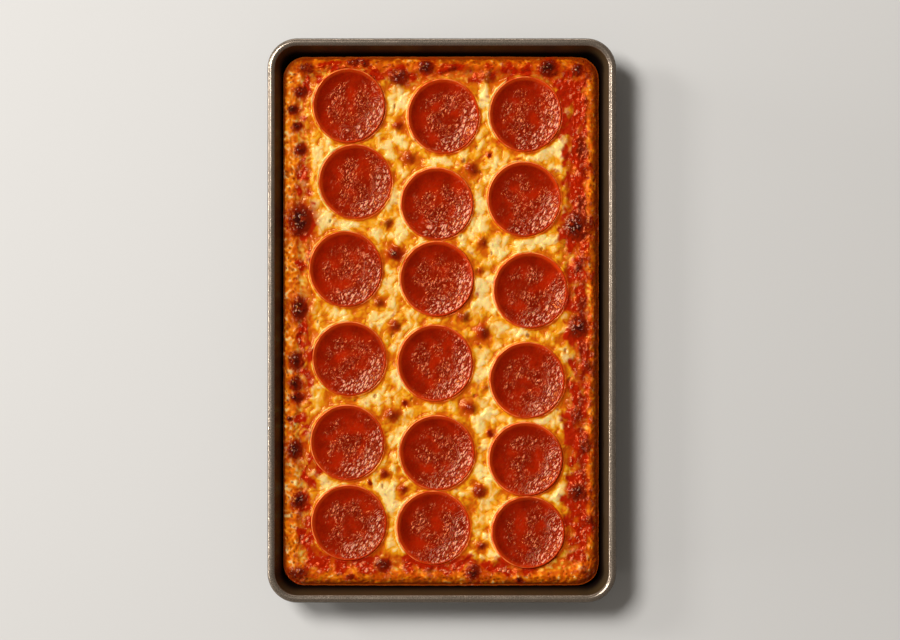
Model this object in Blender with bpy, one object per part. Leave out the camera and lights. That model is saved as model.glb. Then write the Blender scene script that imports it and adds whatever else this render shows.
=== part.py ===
"""Rectangular pan pizza with pepperoni, lying in the dark steel pan that it was baked in.

Metres, +Z up. The origin is the middle of the pan's underside, +Y runs along the pizza and
+X across it, so that the whole is seen from above with +Y away from the viewer.
"""

import math
import random

import bmesh
import bpy
from mathutils import Matrix, Vector, noise
from mathutils.geometry import delaunay_2d_cdt

MM = 0.001
GAP = 0.35 * MM  # air between two pieces that touch

# The pan: a pressed sheet steel tray with leaning walls and a rolled rim
PAN_WIDTH = 220 * MM
PAN_LENGTH = 356 * MM
PAN_HEIGHT = 32 * MM
PAN_CORNER = 19 * MM  # at the rim's outer edge
PAN_CORNER_TAPER = 0.9  # how fast the corners tighten towards the floor
PAN_SHEET = 1.0 * MM
PAN_FLOOR_FILLET = 6 * MM
PAN_WALL_LEAN = math.radians(19)
BEAD_RADIUS = 2.5 * MM  # the rolled rim
BEAD_STEPS = 9
FILLET_STEPS = 3
PAN_RING_STEPS = (7, 1, 1)  # segments along a corner, a long side and a short side

# The pizza's outline, widest just under its rim
PIZZA_WIDTH = 199 * MM
PIZZA_LENGTH = 333.6 * MM
PIZZA_CORNER = 11 * MM
PIZZA_X = -0.6 * MM  # it lies a little off the pan's middle
PIZZA_Y = -0.4 * MM
RING_STEPS = (5, 44, 25)

# Heights above the table
CRUST_UNDERSIDE = PAN_SHEET + GAP
CRUST_WIDEST = 20 * MM
RIM_TOP = 23.4 * MM
TRAY_FLOOR = 15 * MM  # the dough under the sauce
TRAY_WALL_LEAN = 0.1 * MM
SAUCE_UNDERSIDE = TRAY_FLOOR + GAP
SAUCE_UNDER_CHEESE = SAUCE_UNDERSIDE + 1.6 * MM
SAUCE_TOP = 21.2 * MM  # the ring that shows round the cheese
CHEESE_UNDERSIDE = SAUCE_UNDER_CHEESE + GAP
CHEESE_TOP = 22.0 * MM
CHEESE_EDGE_DROP = 1.0 * MM
CHEESE_EDGE_WIDTH = 7 * MM

# The crust's side, as inset from the outline and height, from the underside up
CRUST_SIDE = ((7.9 * MM, CRUST_UNDERSIDE), (5.0 * MM, 4.6 * MM), (0.3 * MM, 18 * MM))
# The crust's rim, as share of its width and drop below its top
CRUST_RIM = (
    (0.0, RIM_TOP - CRUST_WIDEST), (0.19, 1.2 * MM), (0.5, 0.0), (0.84, 0.6 * MM), (1.0, 1.5 * MM),
)
# Insets from the pizza's right, far, left and near sides, and how much further in the corners
RIM_INSETS = (7 * MM, 9 * MM, 9 * MM, 9 * MM)
RIM_LEAST_INSET = 3.4 * MM
CHEESE_INSETS = (17 * MM, 14 * MM, 14 * MM, 14.5 * MM)
CORNER_INSET = 0.5
SAUCE_LEAST_WIDTH = 1.8 * MM
SPOKE_REACH = 35 * MM  # how far in the lines run along which both edges are laid out
SPOKE_END_CORNER = 1 * MM
SPOKE_GAP = 1.2 * GAP  # the air between two pieces, taken along a slanting spoke

# How far the cheese and the dough's tray reach round a slice
CHEESE_ROUND_SLICE = 1.6 * MM
TRAY_ROUND_SLICE = 3.8 * MM

# Each pepperoni slice: x, y, width and length in millimetres
SLICES = (
    (-58.9, 136.0, 44.4, 45.8), (0.9, 129.4, 44.0, 46.2), (52.8, 130.7, 44.6, 46.4),
    (-54.9, 88.0, 45.0, 46.0), (-3.2, 74.0, 44.6, 44.4), (52.0, 77.0, 45.0, 46.2),
    (-61.0, 32.7, 44.8, 46.8), (-3.2, 26.6, 45.4, 46.4), (55.9, 19.1, 45.6, 46.8),
    (-58.6, -24.1, 45.4, 45.8), (-4.3, -26.9, 46.4, 47.2), (53.9, -37.7, 46.2, 47.0),
    (-60.0, -77.2, 45.4, 46.6), (-3.2, -83.6, 46.4, 46.2), (53.0, -87.7, 45.6, 45.4),
    (-58.9, -127.9, 46.4, 46.6), (-5.4, -131.1, 45.4, 45.6), (54.5, -134.0, 45.0, 44.2),
)
SLICE_SEAT = 18.7 * MM  # height of a slice's underside
SLICE_SEAT_SPREAD = 0.25 * MM
SLICE_TILT = math.radians(1.2)
SLICE_CURL_SPREAD = 0.12  # how much more or less than the profile a slice curls up
SLICE_WAVE = 0.35 * MM  # how far its lip rises and falls round the slice
SLICE_WAVE_TURN = 1.7  # how far the wave is turned from one slice to the next
SLICE_FLAT = 0.7  # share of the radius that the wave leaves alone
SLICE_SEED = 11
SLICE_STEPS = 24
SOCKET_GAP = 0.5 * MM  # between a slice and the cheese round it
# A slice's cupped section, as share of its radius and height, from its underside over the lip
SLICE_SECTION = ((0.72, 0.0), (1.0, 2.0 * MM), (0.965, 4.9 * MM), (0.84, 3.5 * MM), (0.6, 2.1 * MM))

# Browned bubbles in the cheese: x, y and radius in millimetres
CHEESE_BUBBLES = (
    (-28.2, 123.8, 3.4), (-21.3, 103.0, 4.4), (18.4, 96.7, 4.8), (-34.5, 62.1, 3.6), (-30.1, 42.5, 5.0),
    (-40.2, 11.7, 3.4), (-30.1, -2.8, 4.2), (25.3, 50.1, 4.6), (24.1, 31.8, 3.0), (12.7, 2.8, 4.2),
    (25.3, -7.2, 4.8), (-31.4, -59.5, 4.8), (16.5, -54.5, 4.6), (29.7, -71.5, 3.2), (-37.0, -96.7, 3.4),
    (-25.1, -106.8, 3.2), (22.8, -108.0, 4.8), (24.1, -142.1, 3.6),
)
# Charred blisters on the sauce and the rim: x, y and radius in millimetres
EDGE_BLISTERS = (
    (-86.8, 160.3, 5.0), (-90.0, 145.2, 4.5), (-92.5, 123.8, 4.0), (-90.6, 109.3, 4.5), (-90.0, 64.6, 8.5),
    (-91.2, 7.9, 6.5), (-93.1, -24.9, 5.5), (-93.7, -44.0, 5.5), (-93.7, -81.0, 6.0), (-91.2, -113.7, 6.0),
    (-91.2, -159.0, 6.5), (-38.3, -154.0, 6.0), (-9.3, -157.8, 4.5), (19.0, -158.4, 5.5),
    (89.6, -157.8, 5.5), (-54.0, 164.0, 4.0), (-28.2, 154.7, 6.5), (-10.6, 161.0, 5.5), (27.8, 154.7, 5.5),
    (66.3, 160.3, 6.0),
    (85.2, 159.1, 5.0), (83.9, 60.2, 8.5), (85.2, 35.0, 5.5), (85.8, -3.5, 7.0), (90.8, -28.0, 4.5),
    (83.9, -59.5, 6.0), (89.6, -78.4, 6.5), (85.2, -108.0, 7.0), (92.1, -125.7, 4.5),
)
BUBBLE_RISE = 0.30  # a bubble's height as a share of its radius
BLISTER_RISE_ON_RIM = 0.7  # how much of that is left on the firm rim

# The cheese's mesh: a staggered grid, kept clear of its edge, the sockets and the bubbles' own points
GRID_PITCH = 5.2 * MM
EDGE_CLEARANCE = 2.5 * MM
SOCKET_CLEARANCE = 2.2 * MM
BUBBLE_CLEARANCE = 1.15  # as share of a bubble's radius
BUBBLE_SHOULDER = 0.8
BUBBLE_STEPS = 6

# Uneven surfaces, as wavelength and height of the lumps and the layer of noise they are read from
CRUST_LUMPS = (11 * MM, 0.5 * MM, 0.0)
SAUCE_LUMPS = (9 * MM, 0.7 * MM, 3.0)
CHEESE_LUMPS = (12 * MM, 1.3 * MM, 7.0)
FINE_LUMPS = (2.1, 0.4)  # a second set over each: how much finer, and how much of the height
EDGE_WAVES = (5, 9, 14, 22)  # how many times round the pizza each wave of an edge repeats
RIM_WANDER = (2.5 * MM, 0.7)  # size of those waves, and where they start
CHEESE_WANDER = (5 * MM, 2.1)


def clear_scene():
    for obj in list(bpy.data.objects):
        bpy.data.objects.remove(obj)


def material(name, colour, roughness, metallic=0.0):
    made = bpy.data.materials.new(name)
    made.use_nodes = True
    shader = made.node_tree.nodes["Principled BSDF"]
    shader.inputs["Base Color"].default_value = (*colour, 1.0)
    shader.inputs["Roughness"].default_value = roughness
    shader.inputs["Metallic"].default_value = metallic
    return made


def finish_object(name, bm, surface):
    """Turns a bmesh into an object with one material, its faces pointing outwards."""
    bmesh.ops.recalc_face_normals(bm, faces=bm.faces)
    mesh = bpy.data.meshes.new(name)
    bm.to_mesh(mesh)
    bm.free()
    mesh.shade_smooth()
    mesh.set_sharp_from_angle(angle=math.radians(35))
    mesh.materials.append(surface)
    obj = bpy.data.objects.new(name, mesh)
    bpy.context.scene.collection.objects.link(obj)
    return obj


def ring(half_x, half_y, corner, steps, centre=(0.0, 0.0)):
    """(point, outward normal) round a rounded rectangle, anticlockwise from its right-hand side."""
    corner_steps, long_steps, short_steps = steps
    arcs = []
    for quarter, (sign_x, sign_y) in enumerate(((1, 1), (-1, 1), (-1, -1), (1, -1))):
        hub = Vector(centre) + Vector((sign_x * (half_x - corner), sign_y * (half_y - corner)))
        angles = [(quarter + i / corner_steps) * math.pi / 2 for i in range(corner_steps + 1)]
        normals = [Vector((math.cos(angle), math.sin(angle))) for angle in angles]
        arcs.append([(hub + normal * corner, normal) for normal in normals])
    spots = []
    for quarter, arc in enumerate(arcs):
        spots += arc
        start, normal = arc[-1]
        end = arcs[(quarter + 1) % 4][0][0]
        side_steps = long_steps if quarter % 2 else short_steps
        spots += [(start.lerp(end, i / side_steps), normal) for i in range(1, side_steps)]
    return spots


def bridged(loops):
    """A closed bmesh through loops of 3-D points of one length, with its first and last loop filled."""
    bm = bmesh.new()
    rows = [[bm.verts.new(point) for point in loop] for loop in loops]
    for row, above in zip(rows, rows[1:]):
        for i, vert in enumerate(row):
            j = (i + 1) % len(row)
            bm.faces.new((vert, row[j], above[j], above[i]))
    bm.faces.new(rows[0])
    bm.faces.new(rows[-1])
    return bm


def pan_section():
    """The wall as inset from the outer edge and height: up its outside, over the bead, down its inside."""
    lean_cos, lean_tan = math.cos(PAN_WALL_LEAN), math.tan(PAN_WALL_LEAN)
    bead_z = PAN_HEIGHT - BEAD_RADIUS
    wall_inset = BEAD_RADIUS * (1 + lean_cos) - PAN_SHEET / lean_cos
    wall_top = bead_z + BEAD_RADIUS * math.sin(PAN_WALL_LEAN)
    foot_inset = wall_inset + wall_top * lean_tan
    hub = foot_inset + PAN_FLOOR_FILLET * (1 / lean_cos - lean_tan)
    arc = [-math.pi / 2 - (math.pi / 2 - PAN_WALL_LEAN) * i / FILLET_STEPS for i in range(FILLET_STEPS + 1)]

    def fillet(radius):
        return [(hub + radius * math.cos(a), PAN_FLOOR_FILLET + radius * math.sin(a)) for a in arc]

    first, last = math.radians(-35), PAN_WALL_LEAN - 2 * math.pi
    turns = [first + (last - first) * i / BEAD_STEPS for i in range(BEAD_STEPS + 1)]
    bead = [(BEAD_RADIUS * (1 + math.cos(a)), bead_z + BEAD_RADIUS * math.sin(a)) for a in turns]
    return fillet(PAN_FLOOR_FILLET) + bead + fillet(PAN_FLOOR_FILLET - PAN_SHEET)[::-1]


def make_pan(surface):
    loops = []
    for inset, height in pan_section():
        corner = PAN_CORNER - PAN_CORNER_TAPER * inset
        spots = ring(PAN_WIDTH / 2 - inset, PAN_LENGTH / 2 - inset, corner, PAN_RING_STEPS)
        loops.append([(*point, height) for point, _ in spots])
    return finish_object("pan", bridged(loops), surface)


def wander(turn, size, phase):
    """A smooth closed wave, where turn runs from 0 to 1 round the pizza."""
    waves = [math.sin(math.tau * count * turn + phase * count) for count in EDGE_WAVES]
    return size * sum(waves) / len(waves)


def spokes():
    """Lines inwards from the outline that never cross: (outer end, outward direction, side's normal)."""
    half_x, half_y, centre = PIZZA_WIDTH / 2, PIZZA_LENGTH / 2, (PIZZA_X, PIZZA_Y)
    outer = ring(half_x, half_y, PIZZA_CORNER, RING_STEPS, centre)
    inner = ring(half_x - SPOKE_REACH, half_y - SPOKE_REACH, SPOKE_END_CORNER, RING_STEPS, centre)
    return [(point, (point - end).normalized(), normal) for (point, normal), (end, _) in zip(outer, inner)]


def side_inset(insets, normal):
    """The inset for a place on the outline, blended from one side to the next round the corners."""
    right, far, left, near = insets
    along_x, along_y = (right if normal.x > 0 else left), (far if normal.y > 0 else near)
    square = normal.x**2 * along_x + normal.y**2 * along_y
    return square * (1 + 2 * CORNER_INSET * abs(normal.x * normal.y))


def inset_clear_of_slices(point, direction, inset, margin):
    """The inset along a spoke, made less where a slice would be nearer to the edge than margin."""
    for x, y, width, length in SLICES:
        reach = max(width, length) / 2 * MM + margin
        away = point - Vector((x, y)) * MM
        along = away.dot(direction)
        aside = away.length_squared - along**2
        if aside < reach**2:
            inset = min(inset, along - math.sqrt(reach**2 - aside))
    return inset


def edges():
    """The tray's edge in the dough and the cheese's edge inside it, as (flat point, outward direction)."""
    tray, cheese = [], []
    lines = spokes()
    for i, (point, direction, normal) in enumerate(lines):
        turn, slant = i / len(lines), direction.dot(normal)
        rim = (side_inset(RIM_INSETS, normal) + wander(turn, *RIM_WANDER)) / slant
        rim = inset_clear_of_slices(point, direction, rim, TRAY_ROUND_SLICE)
        rim = max(rim, RIM_LEAST_INSET / slant)
        tray.append((point - direction * rim, direction))
        melt = (side_inset(CHEESE_INSETS, normal) + wander(turn, *CHEESE_WANDER)) / slant
        melt = inset_clear_of_slices(point, direction, melt, CHEESE_ROUND_SLICE)
        cheese.append((point - direction * max(melt, rim + SAUCE_LEAST_WIDTH / slant), direction))
    return tray, cheese


def lumps(point, size, height, layer):
    place = Vector((point[0] / size, point[1] / size, layer))
    finer, share = FINE_LUMPS
    return height * (noise.noise(place) + share * noise.noise(place * finer))


def swelling(point, bubbles):
    """How far the tallest bubble over this point lifts the surface."""
    lift = 0.0
    for x, y, radius in bubbles:
        off = (Vector(point) - Vector((x, y)) * MM).length / (radius * MM)
        lift = max(lift, BUBBLE_RISE * radius * MM * (1 - off**2))
    return lift


def rim_height(point, drop):
    blister = swelling(point, EDGE_BLISTERS) * BLISTER_RISE_ON_RIM
    return RIM_TOP - drop + lumps(point, *CRUST_LUMPS) + blister


def sauce_height(point):
    return SAUCE_TOP + lumps(point, *SAUCE_LUMPS) + swelling(point, EDGE_BLISTERS)


def make_crust(surface):
    """The dough: a slab with leaning sides, a rounded uneven rim and a tray for the sauce."""
    outline = [point for point, _, _ in spokes()]
    tray, _ = edges()
    loops = []
    for inset, height in CRUST_SIDE:
        half_x, half_y = PIZZA_WIDTH / 2 - inset, PIZZA_LENGTH / 2 - inset
        spots = ring(half_x, half_y, PIZZA_CORNER - inset / 2, RING_STEPS, (PIZZA_X, PIZZA_Y))
        loops.append([(*point, height) for point, _ in spots])
    for share, drop in CRUST_RIM:
        flat = [rim.lerp(edge, share) for rim, (edge, _) in zip(outline, tray)]
        loops.append([(*point, rim_height(point, drop)) for point in flat])
    loops.append([(*(point - direction * TRAY_WALL_LEAN), TRAY_FLOOR) for point, direction in tray])
    return finish_object("crust", bridged(loops), surface)


def make_sauce(surface):
    """The tomato sauce: a thin sheet under the cheese that stands up in a ring round it."""
    tray, cheese = edges()
    outer = [point - direction * (TRAY_WALL_LEAN + SPOKE_GAP) for point, direction in tray]
    inner = [point + direction * SPOKE_GAP for point, direction in cheese]
    middle = [a.lerp(b, 0.5) for a, b in zip(outer, inner)]
    loops = [[(*point, SAUCE_UNDERSIDE) for point in outer]]
    for flat in (outer, middle, inner):
        loops.append([(*point, sauce_height(point)) for point in flat])
    loops.append([(*point, SAUCE_UNDER_CHEESE) for point in inner])
    return finish_object("sauce", bridged(loops), surface)


def slice_frames():
    """Where each slice lies: a matrix for its underside's middle, its half sizes and how much it curls."""
    draw = random.Random(SLICE_SEED)
    frames = []
    for x, y, width, length in SLICES:
        seat = SLICE_SEAT + draw.uniform(-SLICE_SEAT_SPREAD, SLICE_SEAT_SPREAD)
        axis = Vector((draw.gauss(0, 1), draw.gauss(0, 1), 0))
        tilt = Matrix.Rotation(draw.uniform(0, SLICE_TILT), 4, axis)
        curl = 1 + draw.uniform(-SLICE_CURL_SPREAD, SLICE_CURL_SPREAD)
        place = Matrix.Translation((x * MM, y * MM, seat)) @ tilt
        frames.append((place, width / 2 * MM, length / 2 * MM, curl))
    return frames


def slice_ring(half_x, half_y, height):
    turns = [math.tau * i / SLICE_STEPS for i in range(SLICE_STEPS)]
    return [Vector((half_x * math.cos(a), half_y * math.sin(a), height)) for a in turns]


def make_slice(index, frame, surface):
    """A round of pepperoni whose edge has curled up into a shallow cup."""
    place, half_x, half_y, curl = frame
    loops = []
    for share, height in SLICE_SECTION:
        loop = slice_ring(half_x * share, half_y * share, height * curl)
        for i, point in enumerate(loop):
            lift = math.sin(2 * math.tau * i / SLICE_STEPS + index * SLICE_WAVE_TURN)
            point.z += SLICE_WAVE * lift * max(0.0, share - SLICE_FLAT) / (1 - SLICE_FLAT) * (height > 0)
        loops.append(loop)
    obj = finish_object(f"pepperoni_{index + 1:02d}", bridged(loops), surface)
    obj.matrix_world = place
    return obj


def inside(point, loop):
    """True if a flat point lies inside a closed loop of flat points."""
    crossings = 0
    for a, b in zip(loop, loop[1:] + loop[:1]):
        if (a.y > point.y) != (b.y > point.y):
            crossings += point.x < a.x + (point.y - a.y) / (b.y - a.y) * (b.x - a.x)
    return crossings % 2 == 1


def in_socket(point, frame, margin):
    place, half_x, half_y, _ = frame
    off = Vector(point) - place.translation.xy
    return math.hypot(off.x / (half_x + margin), off.y / (half_y + margin)) < 1


def cheese_height(point, edge):
    """The cheese's uneven top, which thins towards its edge and swells in bubbles."""
    nearest = min((Vector(point) - spot).length for spot in edge)
    thinning = CHEESE_EDGE_DROP * max(0.0, 1 - nearest / CHEESE_EDGE_WIDTH) ** 2
    return CHEESE_TOP - thinning + lumps(point, *CHEESE_LUMPS) + swelling(point, CHEESE_BUBBLES)


def cheese_spots(edge, frames):
    """Flat points inside the cheese's edge: the bubbles' crowns and shoulders, and a staggered grid."""
    crowns = [(Vector((x, y)) * MM, radius * MM) for x, y, radius in CHEESE_BUBBLES]
    spots = []
    for crown, radius in crowns:
        spots.append(crown)
        for i in range(BUBBLE_STEPS):
            turn = i * math.tau / BUBBLE_STEPS
            spots.append(crown + Vector((math.cos(turn), math.sin(turn))) * radius * BUBBLE_SHOULDER)
    row_pitch = GRID_PITCH * math.sqrt(3) / 2
    rows = int(PIZZA_LENGTH / row_pitch)
    columns = int(PIZZA_WIDTH / GRID_PITCH)
    for row in range(-rows // 2, rows // 2 + 1):
        for column in range(-columns // 2, columns // 2 + 1):
            spot = Vector(((column + row % 2 / 2) * GRID_PITCH, row * row_pitch))
            if all((spot - crown).length > radius * BUBBLE_CLEARANCE for crown, radius in crowns):
                spots.append(spot)
    spots = [s for s in spots if not any(in_socket(s, frame, SOCKET_CLEARANCE) for frame in frames)]
    return [s for s in spots if inside(s, edge) and min((s - e).length for e in edge) > EDGE_CLEARANCE]


def make_cheese(frames, surface):
    """The melted cheese: a slab with a lumpy top and a shallow socket under each slice."""
    edge = [point for point, _ in edges()[1]]
    seats = []
    for place, half_x, half_y, _ in frames:
        seats.append([place @ p for p in slice_ring(half_x + SOCKET_GAP, half_y + SOCKET_GAP, -GAP)])
    holes = [[point.xy for point in seat] for seat in seats]
    flat = list(edge)
    borders = [(i, (i + 1) % len(edge)) for i in range(len(edge))]
    for hole in holes:
        borders += [(len(flat) + i, len(flat) + (i + 1) % SLICE_STEPS) for i in range(SLICE_STEPS)]
        flat += hole
    flat += cheese_spots(edge, frames)
    points, _, triangles, origins, _, _ = delaunay_2d_cdt(flat, borders, [], 0, 1e-7)
    bm = bmesh.new()
    top = [bm.verts.new((*point, cheese_height(point, edge))) for point in points]
    made_from = {source: vert for vert, sources in zip(top, origins) for source in sources}
    for corners in triangles:
        middle = sum((points[i] for i in corners), Vector((0, 0))) / 3
        if inside(middle, edge) and not any(inside(middle, hole) for hole in holes):
            bm.faces.new([top[i] for i in corners])
    walls = [(range(len(edge)), [Vector((*point, CHEESE_UNDERSIDE)) for point in edge])]
    for number, seat in enumerate(seats):
        first = len(edge) + number * SLICE_STEPS
        walls.append((range(first, first + SLICE_STEPS), seat))
    for upper, lower in walls:
        high = [made_from[i] for i in upper]
        low = [bm.verts.new(point) for point in lower]
        for i, vert in enumerate(high):
            j = (i + 1) % len(high)
            bm.faces.new((vert, high[j], low[j], low[i]))
        bm.faces.new(low)
    bmesh.ops.delete(bm, geom=[vert for vert in bm.verts if not vert.link_faces], context="VERTS")
    return finish_object("cheese", bm, surface)


def main():
    clear_scene()
    make_pan(material("dark_steel", (0.05, 0.046, 0.042), 0.38, 0.8))
    make_crust(material("baked_crust", (0.62, 0.27, 0.06), 0.75))
    make_sauce(material("tomato_sauce", (0.48, 0.06, 0.02), 0.35))
    frames = slice_frames()
    make_cheese(frames, material("melted_cheese", (0.90, 0.60, 0.20), 0.42))
    meat = material("pepperoni", (0.40, 0.045, 0.02), 0.38)
    for index, frame in enumerate(frames):
        make_slice(index, frame, meat)


main()
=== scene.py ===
from math import cos, pi, radians, sin, sqrt, tan, tau

import bpy
import numpy as np
from bpy.props import FloatProperty, FloatVectorProperty, IntProperty, PointerProperty
from bpy.types import NodeSocket, Operator, Panel, PropertyGroup
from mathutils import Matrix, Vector
from mathutils.kdtree import KDTree


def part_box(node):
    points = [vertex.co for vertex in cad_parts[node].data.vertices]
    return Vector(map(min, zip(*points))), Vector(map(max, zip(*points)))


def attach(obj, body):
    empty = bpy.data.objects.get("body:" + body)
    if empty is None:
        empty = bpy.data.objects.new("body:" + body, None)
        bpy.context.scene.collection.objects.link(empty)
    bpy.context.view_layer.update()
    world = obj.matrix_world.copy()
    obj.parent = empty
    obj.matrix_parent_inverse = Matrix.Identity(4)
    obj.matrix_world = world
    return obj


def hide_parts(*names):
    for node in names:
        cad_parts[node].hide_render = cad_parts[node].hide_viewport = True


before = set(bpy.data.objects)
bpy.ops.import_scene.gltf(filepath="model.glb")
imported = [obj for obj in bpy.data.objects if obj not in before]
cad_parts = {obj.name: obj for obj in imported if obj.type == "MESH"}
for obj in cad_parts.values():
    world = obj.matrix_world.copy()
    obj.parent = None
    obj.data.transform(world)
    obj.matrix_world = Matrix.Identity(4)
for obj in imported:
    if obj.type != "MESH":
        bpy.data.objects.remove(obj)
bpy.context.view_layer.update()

bl_info = {
    "name": "Pan Pizza",
    "version": (1, 0, 0),
    "blender": (4, 5, 0),
    "location": "View3D > Sidebar > Pizza",
    "description": "Dresses a rectangular pepperoni pan pizza in its dark steel pan",
    "category": "Object",
}

MM = 0.001
WELD_GAP = 0.02 * MM
SHARP_ANGLE = radians(50)
NOISE_GAIN = 1.5  # brings the noise's range close to -1 to 1
# Heights between which the steel turns from coated to rubbed bare, and from nearly black, partly burnt-on and
# partly painted shade low in the gap by the crust, to coated
RUBBED = (30.3 * MM, 31.8 * MM)
BURNT_AND_SHADE = (18 * MM, 27.5 * MM)
SLICE_NODES = sorted(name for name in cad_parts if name.startswith("pepperoni_"))

# The pizza's outline and the two edges inside it, laid out as on the solids, in millimetres
CRUST_LOW, CRUST_HIGH = (Vector(corner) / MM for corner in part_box("crust"))
PIZZA_MIDDLE = (CRUST_LOW.xy + CRUST_HIGH.xy) / 2
HALF_WIDTH, HALF_LENGTH = (CRUST_HIGH.xy - CRUST_LOW.xy) / 2
PIZZA_CORNER = 13.5
RING_STEPS = (5, 44, 25)  # the solids' steps round a corner, a long side and a short side
RING_FINENESS = 9  # how many points each step of the solids gets here
SPOKE_REACH = 35  # how far in the ring lies that the outward directions start from
SPOKE_END_CORNER = 1
RIM_INSETS = (7, 9, 9, 9)  # on the right, far, left and near sides
RIM_LEAST_INSET = 3.4
CHEESE_INSETS = (17, 14, 14, 14.5)
CORNER_INSET = 0.5
SAUCE_LEAST_WIDTH = 1.8
CHEESE_ROUND_SLICE = 1.6
TRAY_ROUND_SLICE = 3.8
EDGE_WAVES = (5, 9, 14, 22)
RIM_WANDER = (2.5, 0.7)  # size and phase of the edge's waves
CHEESE_WANDER = (5, 2.1)

# Heights above the table, in millimetres
TRAY_FLOOR = 15.0
SAUCE_UNDERSIDE = 15.35
SAUCE_TOP = 21.5
CHEESE_UNDERSIDE = 17.3
MELT_RISE = 0.7  # from the sauce up to the middle of the cheese
RIM_RISE = 1.7  # from the sauce up to the crust's rim
RIM_DROP = 4.0  # from the rim down to where the crust's side starts
RIM_ROUNDING = 6.5  # how far in from the outline the rim is rounded

# Charred blisters round the edge: x, y, width and length in millimetres, and how charred
EDGE_BLISTERS = (
    (-86.8, 160.3, 10, 6.5, 0.55), (-90, 145.2, 7, 7, 0.8), (-95, 133.9, 5, 5, 0.9),
    (-92.5, 123.8, 6.5, 5.5, 0.7), (-90.6, 109.3, 7.5, 7, 0.7), (-90.5, 64, 13, 17, 1),
    (-91.2, 7.9, 9.5, 14, 0.85), (-93.1, -24.9, 8.5, 10.5, 0.8), (-93.7, -39.5, 7.5, 8, 0.85),
    (-92.5, -48.2, 7, 6.5, 0.9), (-97.3, -62, 3.5, 3.5, 1), (-93.7, -81, 8.5, 11.5, 0.85),
    (-91.2, -113.7, 9, 9.5, 0.85), (-91.2, -159, 12.5, 8, 0.6), (-59.1, -161.6, 4.5, 3, 0.8),
    (-38.3, -154, 10, 8.5, 0.65), (-9.3, -157.8, 7, 6, 0.4), (19, -158.4, 8.5, 8.5, 0.85),
    (48.6, -163.5, 4, 3, 0.8), (89.6, -157.8, 8, 7, 0.4), (-55.9, 164.1, 8, 4.5, 0.7),
    (-49.5, 163.5, 5, 4.5, 0.9), (-28.2, 154.7, 12, 10, 0.6), (-10.6, 161, 9, 8, 0.85),
    (5.8, 160.3, 6.5, 6, 0.35), (27.8, 154.7, 10, 8, 0.35), (66.3, 160.3, 10.5, 9, 1),
    (85.2, 159.1, 8.5, 8, 0.7), (83.9, 60.2, 13.5, 16, 0.95), (85.2, 35, 8, 9, 0.4),
    (85.8, -3.5, 11.5, 13, 0.85), (90.8, -28, 6, 8, 0.5), (83.9, -59.5, 8, 13, 0.4),
    (89.6, -78.4, 9, 12, 0.5), (85.2, -108, 10.5, 10, 0.8), (92.1, -125.7, 7, 7, 0.5),
)
# Browned bubbles in the cheese, the same way
CHEESE_BUBBLES = (
    (-28.2, 123.8, 5.5, 5.5, 0.5), (-21.3, 103, 7.5, 7, 0.35), (18.4, 96.7, 8, 7.5, 0.5),
    (29.7, 105.5, 2.4, 2.8, 0.9), (12.1, 101.7, 3.2, 3.2, 0.3), (-34.5, 62.1, 5.5, 6, 0.35),
    (-30.1, 42.5, 9, 8.5, 0.8), (-40.2, 11.7, 6, 5.5, 0.4), (-30.1, -2.8, 7.5, 6.5, 0.5),
    (25.3, 50.1, 7, 7.5, 0.35), (24.1, 31.8, 4, 4, 0.3), (12.7, 2.8, 8, 7, 0.4),
    (25.3, -7.2, 8, 9.5, 0.6), (27.2, -41.9, 5, 5, 0.2), (16.5, -54.5, 8.5, 7.5, 0.5),
    (29.7, -71.5, 4.5, 4.5, 0.75), (-31.4, -59.5, 8.5, 8, 0.5), (-23.8, -52, 3, 3, 0.8),
    (-37, -96.7, 5.5, 5, 0.6), (-45.9, -102.4, 2.4, 3, 0.8), (-25.1, -106.8, 5, 5, 0.5),
    (22.8, -108, 8.5, 8, 0.6), (24.1, -142.1, 6, 5.5, 0.5), (-18, -98, 2.2, 2.2, 0.6),
)
BLISTER_RISE = 0.22  # a blister's height as a share of its width
# Where red sauce shows round the cheese, the same way, with how red
RED_PATCHES = (
    (-82, 151.2, 12, 20, 0.8), (-87.4, 131.4, 8, 11, 0.6), (-88, 87, 9, 26, 0.8),
    (-85.5, 64.9, 10, 30, 0.9), (-88, 39.7, 9, 24, 0.65), (-88, -11, 12, 17, 0.9),
    (-86.5, -35, 10, 38, 0.85), (-87, -66.2, 11, 17, 0.8), (-82.7, -95.1, 16, 22, 0.9),
    (-88.5, -114.7, 13, 19, 1), (-85.5, -140, 11, 32, 1), (-77, -153, 20, 13, 1),
    (-51.5, -153.6, 54, 12, 1), (-4.3, -153.4, 56, 12.5, 1), (43, -155, 42, 12, 0.95),
    (82, 136, 22, 42, 1), (84.5, 103, 19, 50, 1), (84.5, 62, 18, 34, 1),
    (88, 36.9, 15, 28, 0.9), (84, 9, 15, 32, 0.95), (86, -6, 17, 26, 1),
    (89, -27, 14, 24, 0.9), (85.5, -65, 18, 54, 1), (87, -107, 16, 32, 1),
    (84, -130.4, 15, 26, 0.9), (90, -130.5, 12, 18, 1), (-30, 156.8, 46, 12, 0.8),
    (8, 158, 28, 11, 0.75), (40, 156.5, 44, 13, 0.9), (77, 153, 18, 14, 1),
    (-66, 161, 32, 8, 0.8),
)
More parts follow.
